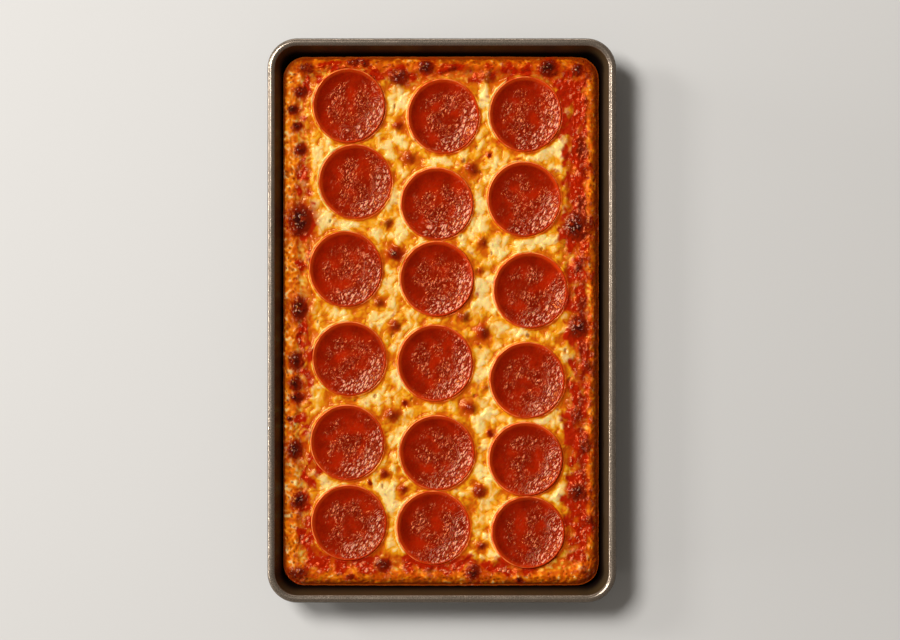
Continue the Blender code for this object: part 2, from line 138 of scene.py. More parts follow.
# Where the cheese is palest, the same way
PALE_PATCHES = (
    (-27, 138.9, 12, 16, 0.8), (-30.7, 113.1, 14, 11, 0.6), (-78, 107.4, 12, 15, 0.8),
    (-31, 5, 13, 15, 0.5), (-34.5, -102, 12, 14, 0.8),
    (-74.2, 67.7, 17, 13, 0.9), (-59.1, 60.2, 13, 8, 0.8), (-25.1, 67.7, 12, 20, 0.9),
    (-30.7, 56.4, 16, 10, 1), (-34.5, 29.9, 10, 16, 0.8), (-28.9, 18.6, 10, 10, 0.6),
    (-66.7, 5.4, 14, 9, 0.9), (26.6, 135.8, 9, 17, 0.8), (3.9, 103.6, 16, 10, 0.7),
    (71.9, 107.4, 14, 23, 1), (20.9, 65.8, 11, 23, 1), (37.9, 46.9, 14, 10, 1),
    (61.9, 48.8, 19, 9, 1), (26.6, 16.7, 14, 26, 0.75), (-42.1, -3.5, 10, 10, 0.9),
    (-45.9, -45.7, 14, 12, 0.9), (-25.1, -38.1, 10, 12, 1), (-80.5, -45.7, 7, 10, 0.7),
    (-30.7, -73.4, 10, 20, 0.9), (-40.2, -102.4, 14, 9, 0.9), (-73, -108, 15, 9, 0.9),
    (-34.5, -111.2, 10, 20, 1), (-30.7, -132, 8, 13, 0.8), (46.1, -5.4, 23, 9, 1),
    (24.1, -29.3, 19, 14, 0.8), (29.1, -55.1, 13, 19, 0.75), (66.3, -63.9, 16, 9, 0.8),
    (26, -73.4, 11, 19, 0.75), (24.1, -95.4, 10, 19, 0.8), (27.2, -117.5, 8, 15, 0.9),
    (73.2, -108, 8, 13, 0.8), (82.7, -21.7, 7, 15, 0.7), (29.1, -148.4, 8, 8, 0.9),
)
# Noises over the pizza's top: size of a lump in millimetres, and seed
NOISES = {
    "shreds": (9.5, 2), "small shreds": (5.0, 3), "fine": (2.2, 4), "creases": (6.0, 6),
    "crust tone": (5.0, 10), "crust lumps": (4.2, 12), "red edges": (6.5, 15), "folds": (3.6, 16),
    "right band": (11.0, 17), "right_band_shade": (13.0, 18), "pored areas": (6.0, 19), "strands": (3.2, 20),
    "toasted side": (9.0, 25), "pocked areas": (14.0, 27), "char": (3.0, 30), "scorching": (6.0, 31),
    "gaps in the red": (6.0, 33), "slanting strands": (4.2, 34), "crags": (4.5, 41),
    "small crags": (1.8, 42), "crust side": (6.0, 43),
}
# Cells over it, the same way
CELLS = {"pores": (2.9, 5), "pits": (33.0, 8), "pocks": (5.5, 26)}
# How far what is drawn over it wanders, with the size of the wander and its seed
WARPS = {
    "bent": (1.4, 8.0, 11), "red": (2.5, 8.0, 13), "rough": (1.0, 4.5, 21), "frayed": (0.5, 1.8, 23),
    "halo_and_shade": (2.2, 6.0, 29), "pale": (2.5, 7.0, 32),
}


def ramp(low, high, value):
    """Goes smoothly from 0 where value is low to 1 where it is high."""
    share = np.clip((value - low) / (high - low), 0.0, 1.0)
    return share * share * (3 - 2 * share)


def most(*masks):
    """The greatest of the masks at each point."""
    return np.max(masks, axis=0)


def hashed(column, row, seed):
    """A repeatable random number from 0 to 1 for each cell of a lattice."""
    mixed = column * 374761393 + row * 668265263 + seed * 974634777
    mixed = (mixed ^ (mixed >> 13)) * 1274126177
    return ((mixed ^ (mixed >> 16)) & 0xFFFF) / 0x10000


def lattice(x, y, size):
    """Flat points as places on a lattice of that size, and the cell that each is in."""
    u, v = x / size, y / size
    return u, v, np.floor(u).astype(np.int64), np.floor(v).astype(np.int64)


def lumps(x, y, size, seed):
    """Smooth noise from about -1 to 1 over flat points, its lumps about size across."""
    u, v, column, row = lattice(x, y, size)
    total = np.zeros_like(u)
    for i in (0, 1):
        for j in (0, 1):
            turn = hashed(column + i, row + j, seed) * tau
            off_u, off_v = u - column - i, v - row - j
            weight = ramp(1.0, 0.0, abs(off_u)) * ramp(1.0, 0.0, abs(off_v))
            total += weight * (off_u * np.cos(turn) + off_v * np.sin(turn))
    return total * NOISE_GAIN


def noise(place, name):
    return lumps(*place, *NOISES[name])


def cells(x, y, size, seed):
    """Distance to the nearest of scattered points about size apart, as a share of size."""
    u, v, column, row = lattice(x, y, size)
    nearest = np.full_like(u, np.inf)
    for i in (-1, 0, 1):
        for j in (-1, 0, 1):
            spot_u = column + i + hashed(column + i, row + j, seed)
            spot_v = row + j + hashed(column + i, row + j, seed + 1)
            nearest = np.minimum(nearest, np.hypot(u - spot_u, v - spot_v))
    return nearest


def warped(place, name):
    """Flat points moved about, so that what is drawn over them gets uneven edges."""
    reach, size, seed = WARPS[name]
    return [along + reach * lumps(*place, size, seed + i) for i, along in enumerate(place)]


def ring(half_x, half_y, corner):
    """(point, outward normal) round a rounded rectangle, anticlockwise from its right-hand side."""
    corner_steps, long_steps, short_steps = (steps * RING_FINENESS for steps in RING_STEPS)
    arcs = []
    for quarter, (sign_x, sign_y) in enumerate(((1, 1), (-1, 1), (-1, -1), (1, -1))):
        hub = PIZZA_MIDDLE + Vector((sign_x * (half_x - corner), sign_y * (half_y - corner)))
        angles = [(quarter + i / corner_steps) * pi / 2 for i in range(corner_steps + 1)]
        normals = [Vector((cos(angle), sin(angle))) for angle in angles]
        arcs.append([(hub + normal * corner, normal) for normal in normals])
    spots = []
    for quarter, arc in enumerate(arcs):
        spots += arc
        start, normal = arc[-1]
        end = arcs[(quarter + 1) % 4][0][0]
        side_steps = long_steps if quarter % 2 else short_steps
        spots += [(start.lerp(end, i / side_steps), normal) for i in range(1, side_steps)]
    return spots


def wander(turn, size, phase):
    waves = [sin(tau * count * turn + phase * count) for count in EDGE_WAVES]
    return size * sum(waves) / len(waves)


def side_inset(insets, normal):
    right, far, left, near = insets
    along_x, along_y = (right if normal.x > 0 else left), (far if normal.y > 0 else near)
    square = normal.x**2 * along_x + normal.y**2 * along_y
    return square * (1 + 2 * CORNER_INSET * abs(normal.x * normal.y))


def slice_places():
    """Each slice's middle, half sizes and underside height, read from its solid, in millimetres."""
    places = []
    for name in SLICE_NODES:
        low, high = (Vector(corner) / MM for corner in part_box(name))
        places.append(((low + high) / 2, (high.x - low.x) / 2, (high.y - low.y) / 2, low.z))
    return places


SLICES = slice_places()


def inset_clear_of_slices(point, direction, inset, margin):
    for middle, half_x, half_y, _ in SLICES:
        reach = max(half_x, half_y) + margin
        away = point - middle.xy
        along = away.dot(direction)
        aside = away.length_squared - along**2
        if aside < reach**2:
            inset = min(inset, along - sqrt(reach**2 - aside))
    return inset


def lay_out_edges():
    """Round the pizza: the outline, the tray's edge, the cheese's edge and the outward directions."""
    outer = ring(HALF_WIDTH, HALF_LENGTH, PIZZA_CORNER)
    inner = ring(HALF_WIDTH - SPOKE_REACH, HALF_LENGTH - SPOKE_REACH, SPOKE_END_CORNER)
    rows = []
    for i, ((point, normal), (end, _)) in enumerate(zip(outer, inner)):
        direction = (point - end).normalized()
        turn, slant = i / len(outer), direction.dot(normal)
        rim = (side_inset(RIM_INSETS, normal) + wander(turn, *RIM_WANDER)) / slant
        rim = inset_clear_of_slices(point, direction, rim, TRAY_ROUND_SLICE)
        rim = max(rim, RIM_LEAST_INSET / slant)
        melt = (side_inset(CHEESE_INSETS, normal) + wander(turn, *CHEESE_WANDER)) / slant
        melt = inset_clear_of_slices(point, direction, melt, CHEESE_ROUND_SLICE)
        melt = max(melt, rim + SAUCE_LEAST_WIDTH / slant)
        rows.append((point, point - direction * rim, point - direction * melt, direction))
    return [np.array(column) for column in zip(*rows)]


OUTLINE, TRAY_EDGE, CHEESE_EDGE, OUTWARDS = lay_out_edges()


def depth_within(x, y, edge):
    """Distance inside a closed edge, below zero outside it."""
    tree = KDTree(len(edge))
    for i, (edge_x, edge_y) in enumerate(edge):
        tree.insert((edge_x, edge_y, 0.0), i)
    tree.balance()
    depth = np.empty(len(x))
    for n, place in enumerate(zip(x, y)):
        (near_x, near_y, _), i, distance = tree.find((*place, 0.0))
        outside = (place[0] - near_x) * OUTWARDS[i][0] + (place[1] - near_y) * OUTWARDS[i][1] > 0
        depth[n] = -distance if outside else distance
    return depth


def depth_from_outline(x, y):
    """Distance in from the pizza's rounded rectangular outline."""
    off_x = abs(x - PIZZA_MIDDLE.x) - (HALF_WIDTH - PIZZA_CORNER)
    off_y = abs(y - PIZZA_MIDDLE.y) - (HALF_LENGTH - PIZZA_CORNER)
    outside = np.hypot(np.maximum(off_x, 0), np.maximum(off_y, 0))
    return PIZZA_CORNER - outside - np.minimum(np.maximum(off_x, off_y), 0)


def off_slices(x, y):
    """Distance outside the nearest slice's rim, below zero under a slice."""
    nearest = np.full_like(x, np.inf)
    for middle, half_x, half_y, _ in SLICES:
        share = np.hypot((x - middle.x) / half_x, (y - middle.y) / half_y)
        nearest = np.minimum(nearest, (share - 1) * (half_x + half_y) / 2)
    return nearest


def patch_mask(place, patches, full, end, shift=(0, 0)):
    """Where patches of (x, y, width, length, strength) lie, each moved by shift.

    A patch has its strength up to full times its half size, and ends at end times its half size."""
    mask = np.zeros_like(place[0])
    for patch_x, patch_y, width, length, strength in patches:
        off_x, off_y = place[0] - shift[0] - patch_x, place[1] - shift[1] - patch_y
        share = np.hypot(off_x / width, off_y / length) * 2
        mask = np.maximum(mask, ramp(end, full, share) * strength)
    return mask


def blister_rise(place, blisters):
    rise = np.zeros_like(place[0])
    for blister_x, blister_y, width, length, _ in blisters:
        share = np.hypot((place[0] - blister_x) / width, (place[1] - blister_y) / length) * 2
        rise = np.maximum(rise, BLISTER_RISE * min(width, length) * ramp(1.4, 0.1, share))
    return rise


class PizzaTop:
    """The pizza's top over flat points: masks from 0 to 1, and distances and heights in millimetres."""

    def __init__(self, x, y):
        self.x, self.y = x, y
        self.from_edge, self.off_slice = depth_from_outline(x, y), off_slices(x, y)
        self.in_tray, self.in_melt = depth_within(x, y, TRAY_EDGE), depth_within(x, y, CHEESE_EDGE)
        self.bent, self.rough = warped((x, y), "bent"), warped(warped((x, y), "rough"), "frayed")
        self.shreds = noise(self.bent, "shreds") + 0.6 * noise(self.bent, "small shreds")
        self.fine = noise(self.bent, "fine")
        self.creases = ramp(0.14, 0.0, abs(noise(self.bent, "creases")))
        rough_x, rough_y = self.rough
        slanted = 0.5 * (rough_x + rough_y), rough_x - rough_y
        self.strands = most(noise((rough_x, 0.45 * rough_y), "strands"), noise(slanted, "slanting strands"))
        self.on_melt = ramp(-1.5, 1.5, self.in_melt + 2.4 * self.shreds)
        self.on_crust = ramp(1.2, -1.8, self.in_tray + 1.6 * self.shreds + 0.8 * self.fine)
        # Oil stain round the slices, reaching further to their lower right: partly grease, partly painted
        # shade on the side away from the light.
        self.grease_and_shade = ramp(1.8, 0.2, off_slices(x - 1.0, y + 1.0))
        self.lay_holes()
        self.red = self.lay_red()
        self.lay_burns()

    def lay_holes(self):
        """Pores and pocks in the crust, and pits in the cheese."""
        place, (bent_x, bent_y), (rough_x, rough_y) = (self.x, self.y), self.bent, self.rough
        self.pores = ramp(0.42, 0.14, cells(bent_x, bent_y, *CELLS["pores"])) * self.on_crust
        self.pores *= ramp(-0.5, 0.3, noise(place, "pored areas"))
        self.pits = ramp(0.065, 0.03, cells(1.5 * bent_x, bent_y, *CELLS["pits"])) * self.on_melt
        self.pits *= ramp(1.8, 3.2, self.off_slice)
        self.pocks = ramp(0.24, 0.10, cells(1.3 * rough_x, rough_y, *CELLS["pocks"]))
        self.pocks *= ramp(9.0, 4.0, self.from_edge) * ramp(-0.15, 0.35, noise(place, "pocked areas"))

    def lay_red(self):
        """Sauce, and oil stained by it, round the cheese, the slices, the bubbles and the blisters; towards
        their lower right it is partly painted shade.
        """
        x, y, shreds, fine, rough = self.x, self.y, self.shreds, self.fine, self.rough
        red = patch_mask(warped((x, y), "red"), RED_PATCHES, 0.4, 1.75)
        red = ramp(0.0, 0.95, red + 0.65 * noise((x, y), "red edges") + 0.3 * fine - 0.12)
        band = ramp(76, 82, x + 3 * shreds) * ramp(94, 90, x + 1.5 * shreds) * ramp(158, 148, abs(y))
        red = most(red, band * ramp(-0.75, 0.25, noise((x, y), "right band")))
        red = red * (1 - 0.45 * ramp(0.05, 0.5, noise((rough[0], 0.6 * rough[1]), "gaps in the red")))
        # The bubbles' red and the blisters' halo reach out towards the lower right: partly stain, partly
        # painted shade on the side away from the light.
        bubbles = patch_mask(rough, CHEESE_BUBBLES, 0.1, 1.9, (0.6, -0.5)) ** 0.7
        halo_and_shade = patch_mask(warped((x, y), "halo_and_shade"), EDGE_BLISTERS, 0.5, 2.9, (1.8, -1.3))
        red = red * ramp(0.8, 3.0, self.from_edge + fine)
        return most(red, 0.45 * self.grease_and_shade, 1.05 * bubbles, 0.8 * halo_and_shade).clip(0, 1)

    def lay_burns(self):
        """Brown and char on the blisters, the bubbles and the right-hand edge, partly painted shade on their
        sides away from the light, and painted glints on them.
        """
        x, y, rough = self.x, self.y, self.rough
        # The brown sits off towards the lower right of each blister and bubble: partly real browning, partly
        # painted shade on the side away from the light.
        brown_and_shade = ramp(0.0, 0.7, patch_mask(rough, EDGE_BLISTERS, 0.4, 1.75, (1.0, -0.7)))
        brown_and_shade = most(brown_and_shade, patch_mask(rough, CHEESE_BUBBLES, 0.0, 1.4, (0.9, -0.7)) ** 0.5)
        char = patch_mask(rough, EDGE_BLISTERS, 0.1, 1.3, (0.3, -0.2))
        char = char * ramp(-0.8, 0.1, noise((x, y), "char"))
        char = most(char, ramp(0.5, 1.0, patch_mask(rough, CHEESE_BUBBLES, 0.3, 0.85)))
        # Painted glints: pale specks on the blisters' and the bubbles' sides towards the light.
        painted_glints = brown_and_shade * patch_mask(rough, EDGE_BLISTERS, 0.2, 1.0, (-1.0, 0.7)) ** 0.5
        self.painted_glints = most(painted_glints, patch_mask(rough, CHEESE_BUBBLES, 0.1, 0.9, (-1.1, 0.8)) ** 0.5)
        # Painted shade: deep maroon, laid as brown and partly as char, over the red near the right-hand edge,
        # which slopes away from the light; weaker towards the near end.
        right_band_shade = self.red * ramp(84.5, 88, x + 2 * self.shreds) * ramp(-0.5, 0.2, noise((x, y), "right_band_shade"))
        right_band_shade = right_band_shade * (0.65 + 0.35 * ramp(-60, 20, y))
        self.brown_and_shade = most(brown_and_shade, 0.9 * right_band_shade, 0.3 * self.pits)
        self.char = most(char, 0.4 * right_band_shade)

    def toast(self):
        """Toasted edges and scorched spots of the crust, and the rims of the holes; the wider band on the
        right-hand edge is partly painted shade.
        """
        x, y = self.x, self.y
        at_corner = ramp(0.88, 0.98, abs(x * y) / (HALF_WIDTH * HALF_LENGTH) + 0.1)
        # The toasted band is wider on the right-hand edge: partly toasting, partly painted shade on the side
        # away from the light.
        reach = 1.5 + 5.0 * ramp(86, 93, x) + 1.8 * ramp(156, 162, abs(y)) + 2.5 * at_corner
        reach = np.maximum(reach * (1 + 0.7 * noise((x, y), "toasted side")), 1.0)
        toast = ramp(reach, 0.0, self.from_edge + 0.8 * self.fine)
        scorched = self.on_crust * ramp(-0.1, 0.4, noise((x, y), "scorching"))
        scorched = scorched * ramp(9.0, 2.0, self.from_edge + 1.5 * self.fine)
        return most(toast, 0.85 * self.pores, 0.85 * self.pocks, 0.6 * scorched, 0.6 * self.pits)

    def tone(self):
        """How pale the cheese and the crust are."""
        x, y, fine, off_slice = self.x, self.y, self.fine, self.off_slice
        melt = 0.42 + 0.6 * self.shreds + 0.7 * self.strands + 0.15 * fine - 0.3 * self.creases
        melt = melt + 0.6 * patch_mask(warped((x, y), "pale"), PALE_PATCHES, 0.1, 2.0)
        # Painted highlight: the cheese is paler in a thin line just outside each slice, strongly on the
        # slice's side towards the light and faintly all round.
        highlit_side_of_slice = ramp(0.0, -0.6, off_slices(x + 0.7, y - 0.2) - off_slice)
        melt = melt + highlit_side_of_slice * ramp(0.8, 0.0, abs(off_slice - 1.4 - 0.3 * fine))
        melt = melt - 0.4 * ramp(4.6, 1.6, off_slice + 0.8 * self.shreds) - 0.4 * ramp(8.0, 0.0, self.in_melt)
        stained = patch_mask(self.rough, CHEESE_BUBBLES, 0.5, 2.6, (0.5, -0.4)) ** 0.8
        melt = melt + 0.15 * ramp(2.0, 0.8, off_slice) - 1.2 * stained - 0.5 * self.grease_and_shade
        # Painted light: the crust is paler near the left-hand edge, on the side towards the light.
        crust = 0.1 + 0.25 * ramp(-78, -92, x) + 0.7 * fine + 0.5 * noise((x, y), "crust tone")
        return ramp(-0.35, 1.45, crust + (melt - crust) * self.on_melt)

    def masks(self):
        """The masks that the material lays its colours by. Painted highlights lie in dabs on the open, oily
        sauce.
        """
        open_sauce = (1 - self.brown_and_shade) * (1 - self.grease_and_shade) * (1 - self.on_melt)
        sauce_glints = self.red * open_sauce * ramp(165, 143, self.y)
        burns = {"brown_and_shade": self.brown_and_shade, "char": self.char, "painted_glints": self.painted_glints}
        return {"tone": self.tone(), "toast": self.toast(), "red": self.red, **burns, "sauce_glints": sauce_glints}

    def height(self):
        fine, shreds, off_slice = self.fine, self.shreds, self.off_slice
        base = SAUCE_TOP + RIM_RISE * ramp(3.0, -3.0, self.in_tray + 2.0 * shreds)
        base = base + MELT_RISE * ramp(-1.0, 5.0, self.in_melt + 2.0 * shreds)
        base = base - RIM_DROP * np.clip(1 - self.from_edge / RIM_ROUNDING, 0, 1) ** 2.2
        melt = 0.7 * shreds + 0.35 * self.strands + 0.1 * fine - 0.25 * self.creases
        folds = (1 - abs(noise(self.bent, "folds"))) ** 3
        beside = 0.45 * noise(self.bent, "crust lumps") + 0.25 * fine + 0.6 * folds * self.red
        beside = beside - 0.35 * self.pores - 0.5 * self.pocks
        relief = melt * self.on_melt - 0.5 * self.pits + beside * (1 - self.on_melt)
        relief = relief * ramp(0.2, 2.5, off_slice) * ramp(-0.5, 2.0, self.from_edge)
        welt = 0.6 * np.exp(-((off_slice - 1.5) / 0.7) ** 2)
        return base + relief + blister_rise(self.rough, EDGE_BLISTERS + CHEESE_BUBBLES) + welt


def pizza_top(x, y):
    """The top's masks by name and its height in millimetres, over flat points."""
    top = PizzaTop(x, y)
    return top.masks(), top.height()


def set_mode(mode):
    bpy.ops.object.mode_set(mode=mode)


def pick_all(picked=True):
    bpy.ops.mesh.select_all(action="SELECT" if picked else "DESELECT")


def deselect_all():
    if bpy.context.object and bpy.context.object.mode != "OBJECT":
        set_mode("OBJECT")
    bpy.ops.object.select_all(action="DESELECT")


def activate(*pieces):
    """Selects these pieces alone and makes the first one active."""
    deselect_all()
    for piece in pieces:
        piece.select_set(True)
    bpy.context.view_layer.objects.active = pieces[0]


def vertex_array(mesh):
    flat = np.empty(len(mesh.vertices) * 3)
    mesh.vertices.foreach_get("co", flat)
    return flat.reshape(-1, 3)


def set_vertices(mesh, flat, height):
    """Moves the vertices to flat points at heights, both in millimetres."""
    places = np.column_stack((flat, height)) * MM
    mesh.vertices.foreach_set("co", places.astype(np.float32).ravel())
    mesh.update()


def set_masks(mesh, masks):
    for name, values in masks.items():
        mesh.attributes.new(name, "FLOAT", "POINT").data.foreach_set("value", values.astype(np.float32))


def add_grid(name, columns, rows):
    """A square grid of faces as a new active object, and its vertices' places from 0 to 1 on both sides."""
    deselect_all()
    bpy.ops.mesh.primitive_grid_add(x_subdivisions=columns, y_subdivisions=rows, size=1)
    piece = bpy.context.object
    piece.name = name
    places = vertex_array(piece.data)
    return piece, places[:, 0] + 0.5, places[:, 1] + 0.5


def add_ring_grid(name, across):
    """A grid to be wrapped round the pizza: each vertex's step round it, and place from 0 to 1 inwards."""
    around = len(OUTLINE)
    piece, u, v = add_grid(name, around, across)
    return piece, np.rint(u * around).astype(int) % around, v


def select_border(mesh, wanted):
    """Selects the edges with a face on one side only, where their first point is wanted."""
    corner_edges = np.empty(len(mesh.loops), dtype=np.int64)
    mesh.loops.foreach_get("edge_index", corner_edges)
    borders = np.flatnonzero(np.bincount(corner_edges, minlength=len(mesh.edges)) == 1)
    for i in borders:
        edge = mesh.edges[int(i)]
        edge.select = bool(wanted[edge.vertices[0]])


def pick_open_edges():
    pick_all(False)
    bpy.ops.mesh.select_mode(type="EDGE")
    bpy.ops.mesh.select_non_manifold(
        use_wire=False, use_multi_face=False, use_non_contiguous=False, use_verts=False)


def weld():
    """Enters edit mode and merges the vertices that lie on each other."""
    set_mode("EDIT")
    pick_all()
    bpy.ops.mesh.remove_doubles(threshold=WELD_GAP)


def end_edit():
    """Turns the faces outwards and leaves edit mode."""
    pick_all()
    bpy.ops.mesh.normals_make_consistent(inside=False)
    set_mode("OBJECT")


def close_ends():
    """Merges a wrapped grid along its seam and fills the open loops at its ends."""
    weld()
    pick_open_edges()
    bpy.ops.mesh.edge_face_add()
    end_edit()


def finish_piece(piece, surface, slot, *nodes):
    """Shades a piece smooth, gives it its material, hangs it under the root and hides the solids that it
    stands for.
    """
    activate(piece)
    bpy.ops.object.shade_smooth_by_angle(angle=SHARP_ANGLE)
    piece.data.materials.append(surface)
    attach(piece, "root")
    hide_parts(*nodes)


class NodeTree:
    """Short calls that add nodes to a shader tree, each returning an output."""

    def __init__(self, tree):
        self.tree = tree

    def feed(self, node, inputs):
        """Sets or links a node's inputs by name or number."""
        for key, value in inputs.items():
            socket = node.inputs[key]
            if isinstance(value, NodeSocket):
                self.tree.links.new(value, socket)
            else:
                socket.default_value = (*value, 1.0) if socket.type == "RGBA" else value

    def add(self, kind, inputs, output=0, **settings):
        node = self.tree.nodes.new(f"ShaderNode{kind}")
        for name, value in settings.items():
            setattr(node, name, value)
        self.feed(node, inputs)
        return node.outputs[output]

    def group(self, name, inputs):
        """Adds a shared node group, built the first time that it is asked for, and returns its outputs."""
        tree = bpy.data.node_groups.get(name) or GROUPS[name](name)
        return self.add("Group", inputs, node_tree=tree).node.outputs

    def place(self):
        return self.add("TexCoord", {}, "Object")

    def carried(self, name):
        """A mask that the mesh carries."""
        return self.add("Attribute", {}, "Fac", attribute_name=name)

    def noise(self, place, scale, detail, output="Fac"):
        return self.add("TexNoise", {"Vector": place, "Scale": scale, "Detail": detail}, output)

    def math(self, operation, first, second):
        return self.add("Math", {0: first, 1: second}, operation=operation)

    def times(self, *factors):
        first, *others = factors
        for factor in others:
            first = self.math("MULTIPLY", first, factor)
        return first

    def plus(self, first, second):
        return self.math("ADD", first, second)

    def span(self, value, low, high, to_low=0.0, to_high=1.0):
        """Goes smoothly from to_low where value is low to to_high where it is high."""
        inputs = {"Value": value, "From Min": low, "From Max": high, "To Min": to_low, "To Max": to_high}
        return self.add("MapRange", inputs, interpolation_type="SMOOTHSTEP")

    def mix(self, factor, first, second):
        return self.add("Mix", {0: factor, 6: first, 7: second}, 2, data_type="RGBA")

    def bump(self, height, distance, strength=1.0):
        return self.add("Bump", {"Height": height, "Distance": distance, "Strength": strength})


def new_group(name, inputs, outputs):
    """A shader node group with its inputs' defaults: its tree, its inputs and its output node."""
    tree = bpy.data.node_groups.new(name, "ShaderNodeTree")
    for label, default in inputs.items():
        is_colour = isinstance(default, tuple)
        kind = "NodeSocketColor" if is_colour else "NodeSocketFloat"
        socket = tree.interface.new_socket(label, in_out="INPUT", socket_type=kind)
        socket.default_value = (*default, 1.0) if is_colour else default
    for label in outputs:
        kind = "NodeSocketColor" if label == "Color" else "NodeSocketFloat"
        tree.interface.new_socket(label, in_out="OUTPUT", socket_type=kind)
    return NodeTree(tree), tree.nodes.new("NodeGroupInput").outputs, tree.nodes.new("NodeGroupOutput")


def build_grain(name):
    """Fine uneven grain in two sizes, for bumps and for mottling colours."""
    nodes, given, put = new_group(name, {"Size": 2 * MM, "Fine Share": 0.4}, ("Value",))
    place, scale = nodes.place(), nodes.math("DIVIDE", 1.0, given["Size"])
    coarse, fine = nodes.noise(place, scale, 2.0), nodes.noise(place, nodes.times(scale, 3.1), 1.0)
    grain = nodes.add("Mix", {0: given["Fine Share"], 2: coarse, 3: fine}, data_type="FLOAT")
    nodes.feed(put, {"Value": grain})
    return nodes.tree


def build_dots(name):
    """Raised oily specks scattered over a surface, each drawn out the same way."""
    inputs = {"Length": 2 * MM, "Width": 1.4 * MM, "Fill": 0.4, "Sway": 1.6 * MM}
    nodes, given, put = new_group(name, inputs, ("Dots", "Height"))
    place = nodes.place()
    sway = nodes.noise(place, 420.0, 1.0, "Color")
    sway = nodes.add("VectorMath", {0: sway, 3: given["Sway"]}, operation="SCALE")
    swayed = nodes.add("VectorMath", {0: sway, 1: place}, operation="ADD")
    size = nodes.add("CombineXYZ", {0: given["Length"], 1: given["Width"], 2: given["Width"]})
    turned = {"Vector": swayed, "Rotation": (0, 0, DOTS_LEAN), "Scale": size}
    lattice = nodes.add("Mapping", turned, vector_type="TEXTURE")
    spots = nodes.add("TexVoronoi", {"Vector": lattice, "Scale": 1.0}).node.outputs
    reach = nodes.span(spots["Color"], 0.1, 0.9, 0.3, 1.0)
    share = nodes.math("DIVIDE", spots["Distance"], nodes.times(reach, given["Fill"]))
    nodes.feed(put, {"Dots": nodes.span(share, 1.05, 0.6), "Height": nodes.span(share, 1.3, 0.0)})
    return nodes.tree


def build_baked_top(name):
    """The colours of the pizza's top, laid over each other by the masks that its meshes carry."""
    inputs = {**TOP_COLOURS, "Dryness": 0.0, "Grain": 0.2}
    nodes, given, put = new_group(name, inputs, ("Color", "Roughness", "Height"))
    mottle = nodes.group("Grain", {"Size": 1.8 * MM, "Fine Share": 0.35})["Value"]
    specks = {"Length": 2.5 * MM, "Width": 1.4 * MM, "Fill": 0.46, "Sway": 3 * MM}
    drops = {"Length": 3.8 * MM, "Width": 2.1 * MM, "Fill": 0.56, "Sway": 3.4 * MM}
    # The specks' and the dabs' colours are painted highlights; their heights are real bumps.
    glint_flecks, fleck_height = (nodes.times(dots, nodes.carried("painted_glints")) for dots in nodes.group(DOTS, specks))
    gleam_dabs, dab_height = (nodes.times(dots, nodes.carried("sauce_glints")) for dots in nodes.group(DOTS, drops))
    frayed = nodes.times(nodes.math("SUBTRACT", mottle, 0.5), given["Grain"])
    colour = given["Orange"]
    for mask, low, high, layer in TOP_LAYERS:
        share = nodes.span(nodes.plus(nodes.carried(mask), frayed), low, high)
        colour = nodes.mix(share, colour, given[layer])
    # Painted highlights: pale dabs on the open sauce.
    colour = nodes.mix(nodes.times(gleam_dabs, nodes.span(mottle, 0.38, 0.6, 0.25, 0.85)), colour, given["Gleam"])
    # Painted highlights: pale specks on the blisters and the bubbles.
    colour = nodes.mix(nodes.times(glint_flecks, 0.62), colour, given["Glint"])
    dry = nodes.times(given["Dryness"], nodes.span(nodes.carried("red"), 0.1, 0.6, 1.0, 0.0))
    roughness = nodes.plus(nodes.span(mottle, 0.3, 0.7, 0.14, 0.26), dry)
    height = nodes.plus(nodes.plus(nodes.times(mottle, 0.4), fleck_height), dab_height)
    nodes.feed(put, {"Color": colour, "Roughness": roughness, "Height": height})
    return nodes.tree


DOTS = "Oily Dots"
DOTS_LEAN = radians(60)
GROUPS = {"Grain": build_grain, DOTS: build_dots, "Baked Top": build_baked_top}
TOP_COLOURS = {
    "Orange": (0.62, 0.11, 0.002), "Golden": (0.80, 0.37, 0.03), "Cream": (0.90, 0.70, 0.28),
    "Red": (0.43, 0.012, 0.0003), "Brown_And_Shade": (0.23, 0.010, 0.0006), "Toast": (0.27, 0.035, 0.001),
    # On the next line, the two colours after Char are painted highlights: specks on the blisters and bubbles,
    # and dabs on the sauce.
    "Char": (0.050, 0.004, 0.003), "Glint": (0.98, 0.50, 0.34), "Gleam": (0.97, 0.34, 0.15),
}
# What is laid over the orange: the mask, where it starts, where it is full, and the colour
TOP_LAYERS = (
    ("tone", 0.0, 0.5, "Golden"), ("tone", 0.4, 0.95, "Cream"), ("toast", 0.15, 1.0, "Toast"),
    ("red", 0.0, 0.9, "Red"), ("brown_and_shade", 0.0, 0.95, "Brown_And_Shade"), ("char", 0.1, 0.95, "Char"),
)


def new_material(name):
    surface = bpy.data.materials.new(name)
    surface.use_nodes = True
    return surface, NodeTree(surface.node_tree), surface.node_tree.nodes["Principled BSDF"]


def top_material(name, settings, gloss, grain):
    surface, nodes, shader = new_material(name)
    given = {key.title(): getattr(settings, key) for key in settings.__annotations__}
    own = {label: given[label] for label in (*TOP_COLOURS, "Dryness") if label in given}
    top = nodes.group("Baked Top", {**own, "Grain": grain})
    nodes.feed(shader, {
        "Base Color": top["Color"],
        "Roughness": top["Roughness"],
        "Specular IOR Level": gloss,
        "Specular Tint": settings.sheen,
        "Subsurface Weight": 0.5,
        "Subsurface Radius": (1.0, 0.35, 0.08),
        "Subsurface Scale": 2 * MM,
        "Normal": nodes.bump(top["Height"], 0.4 * MM),
    })
    return surface


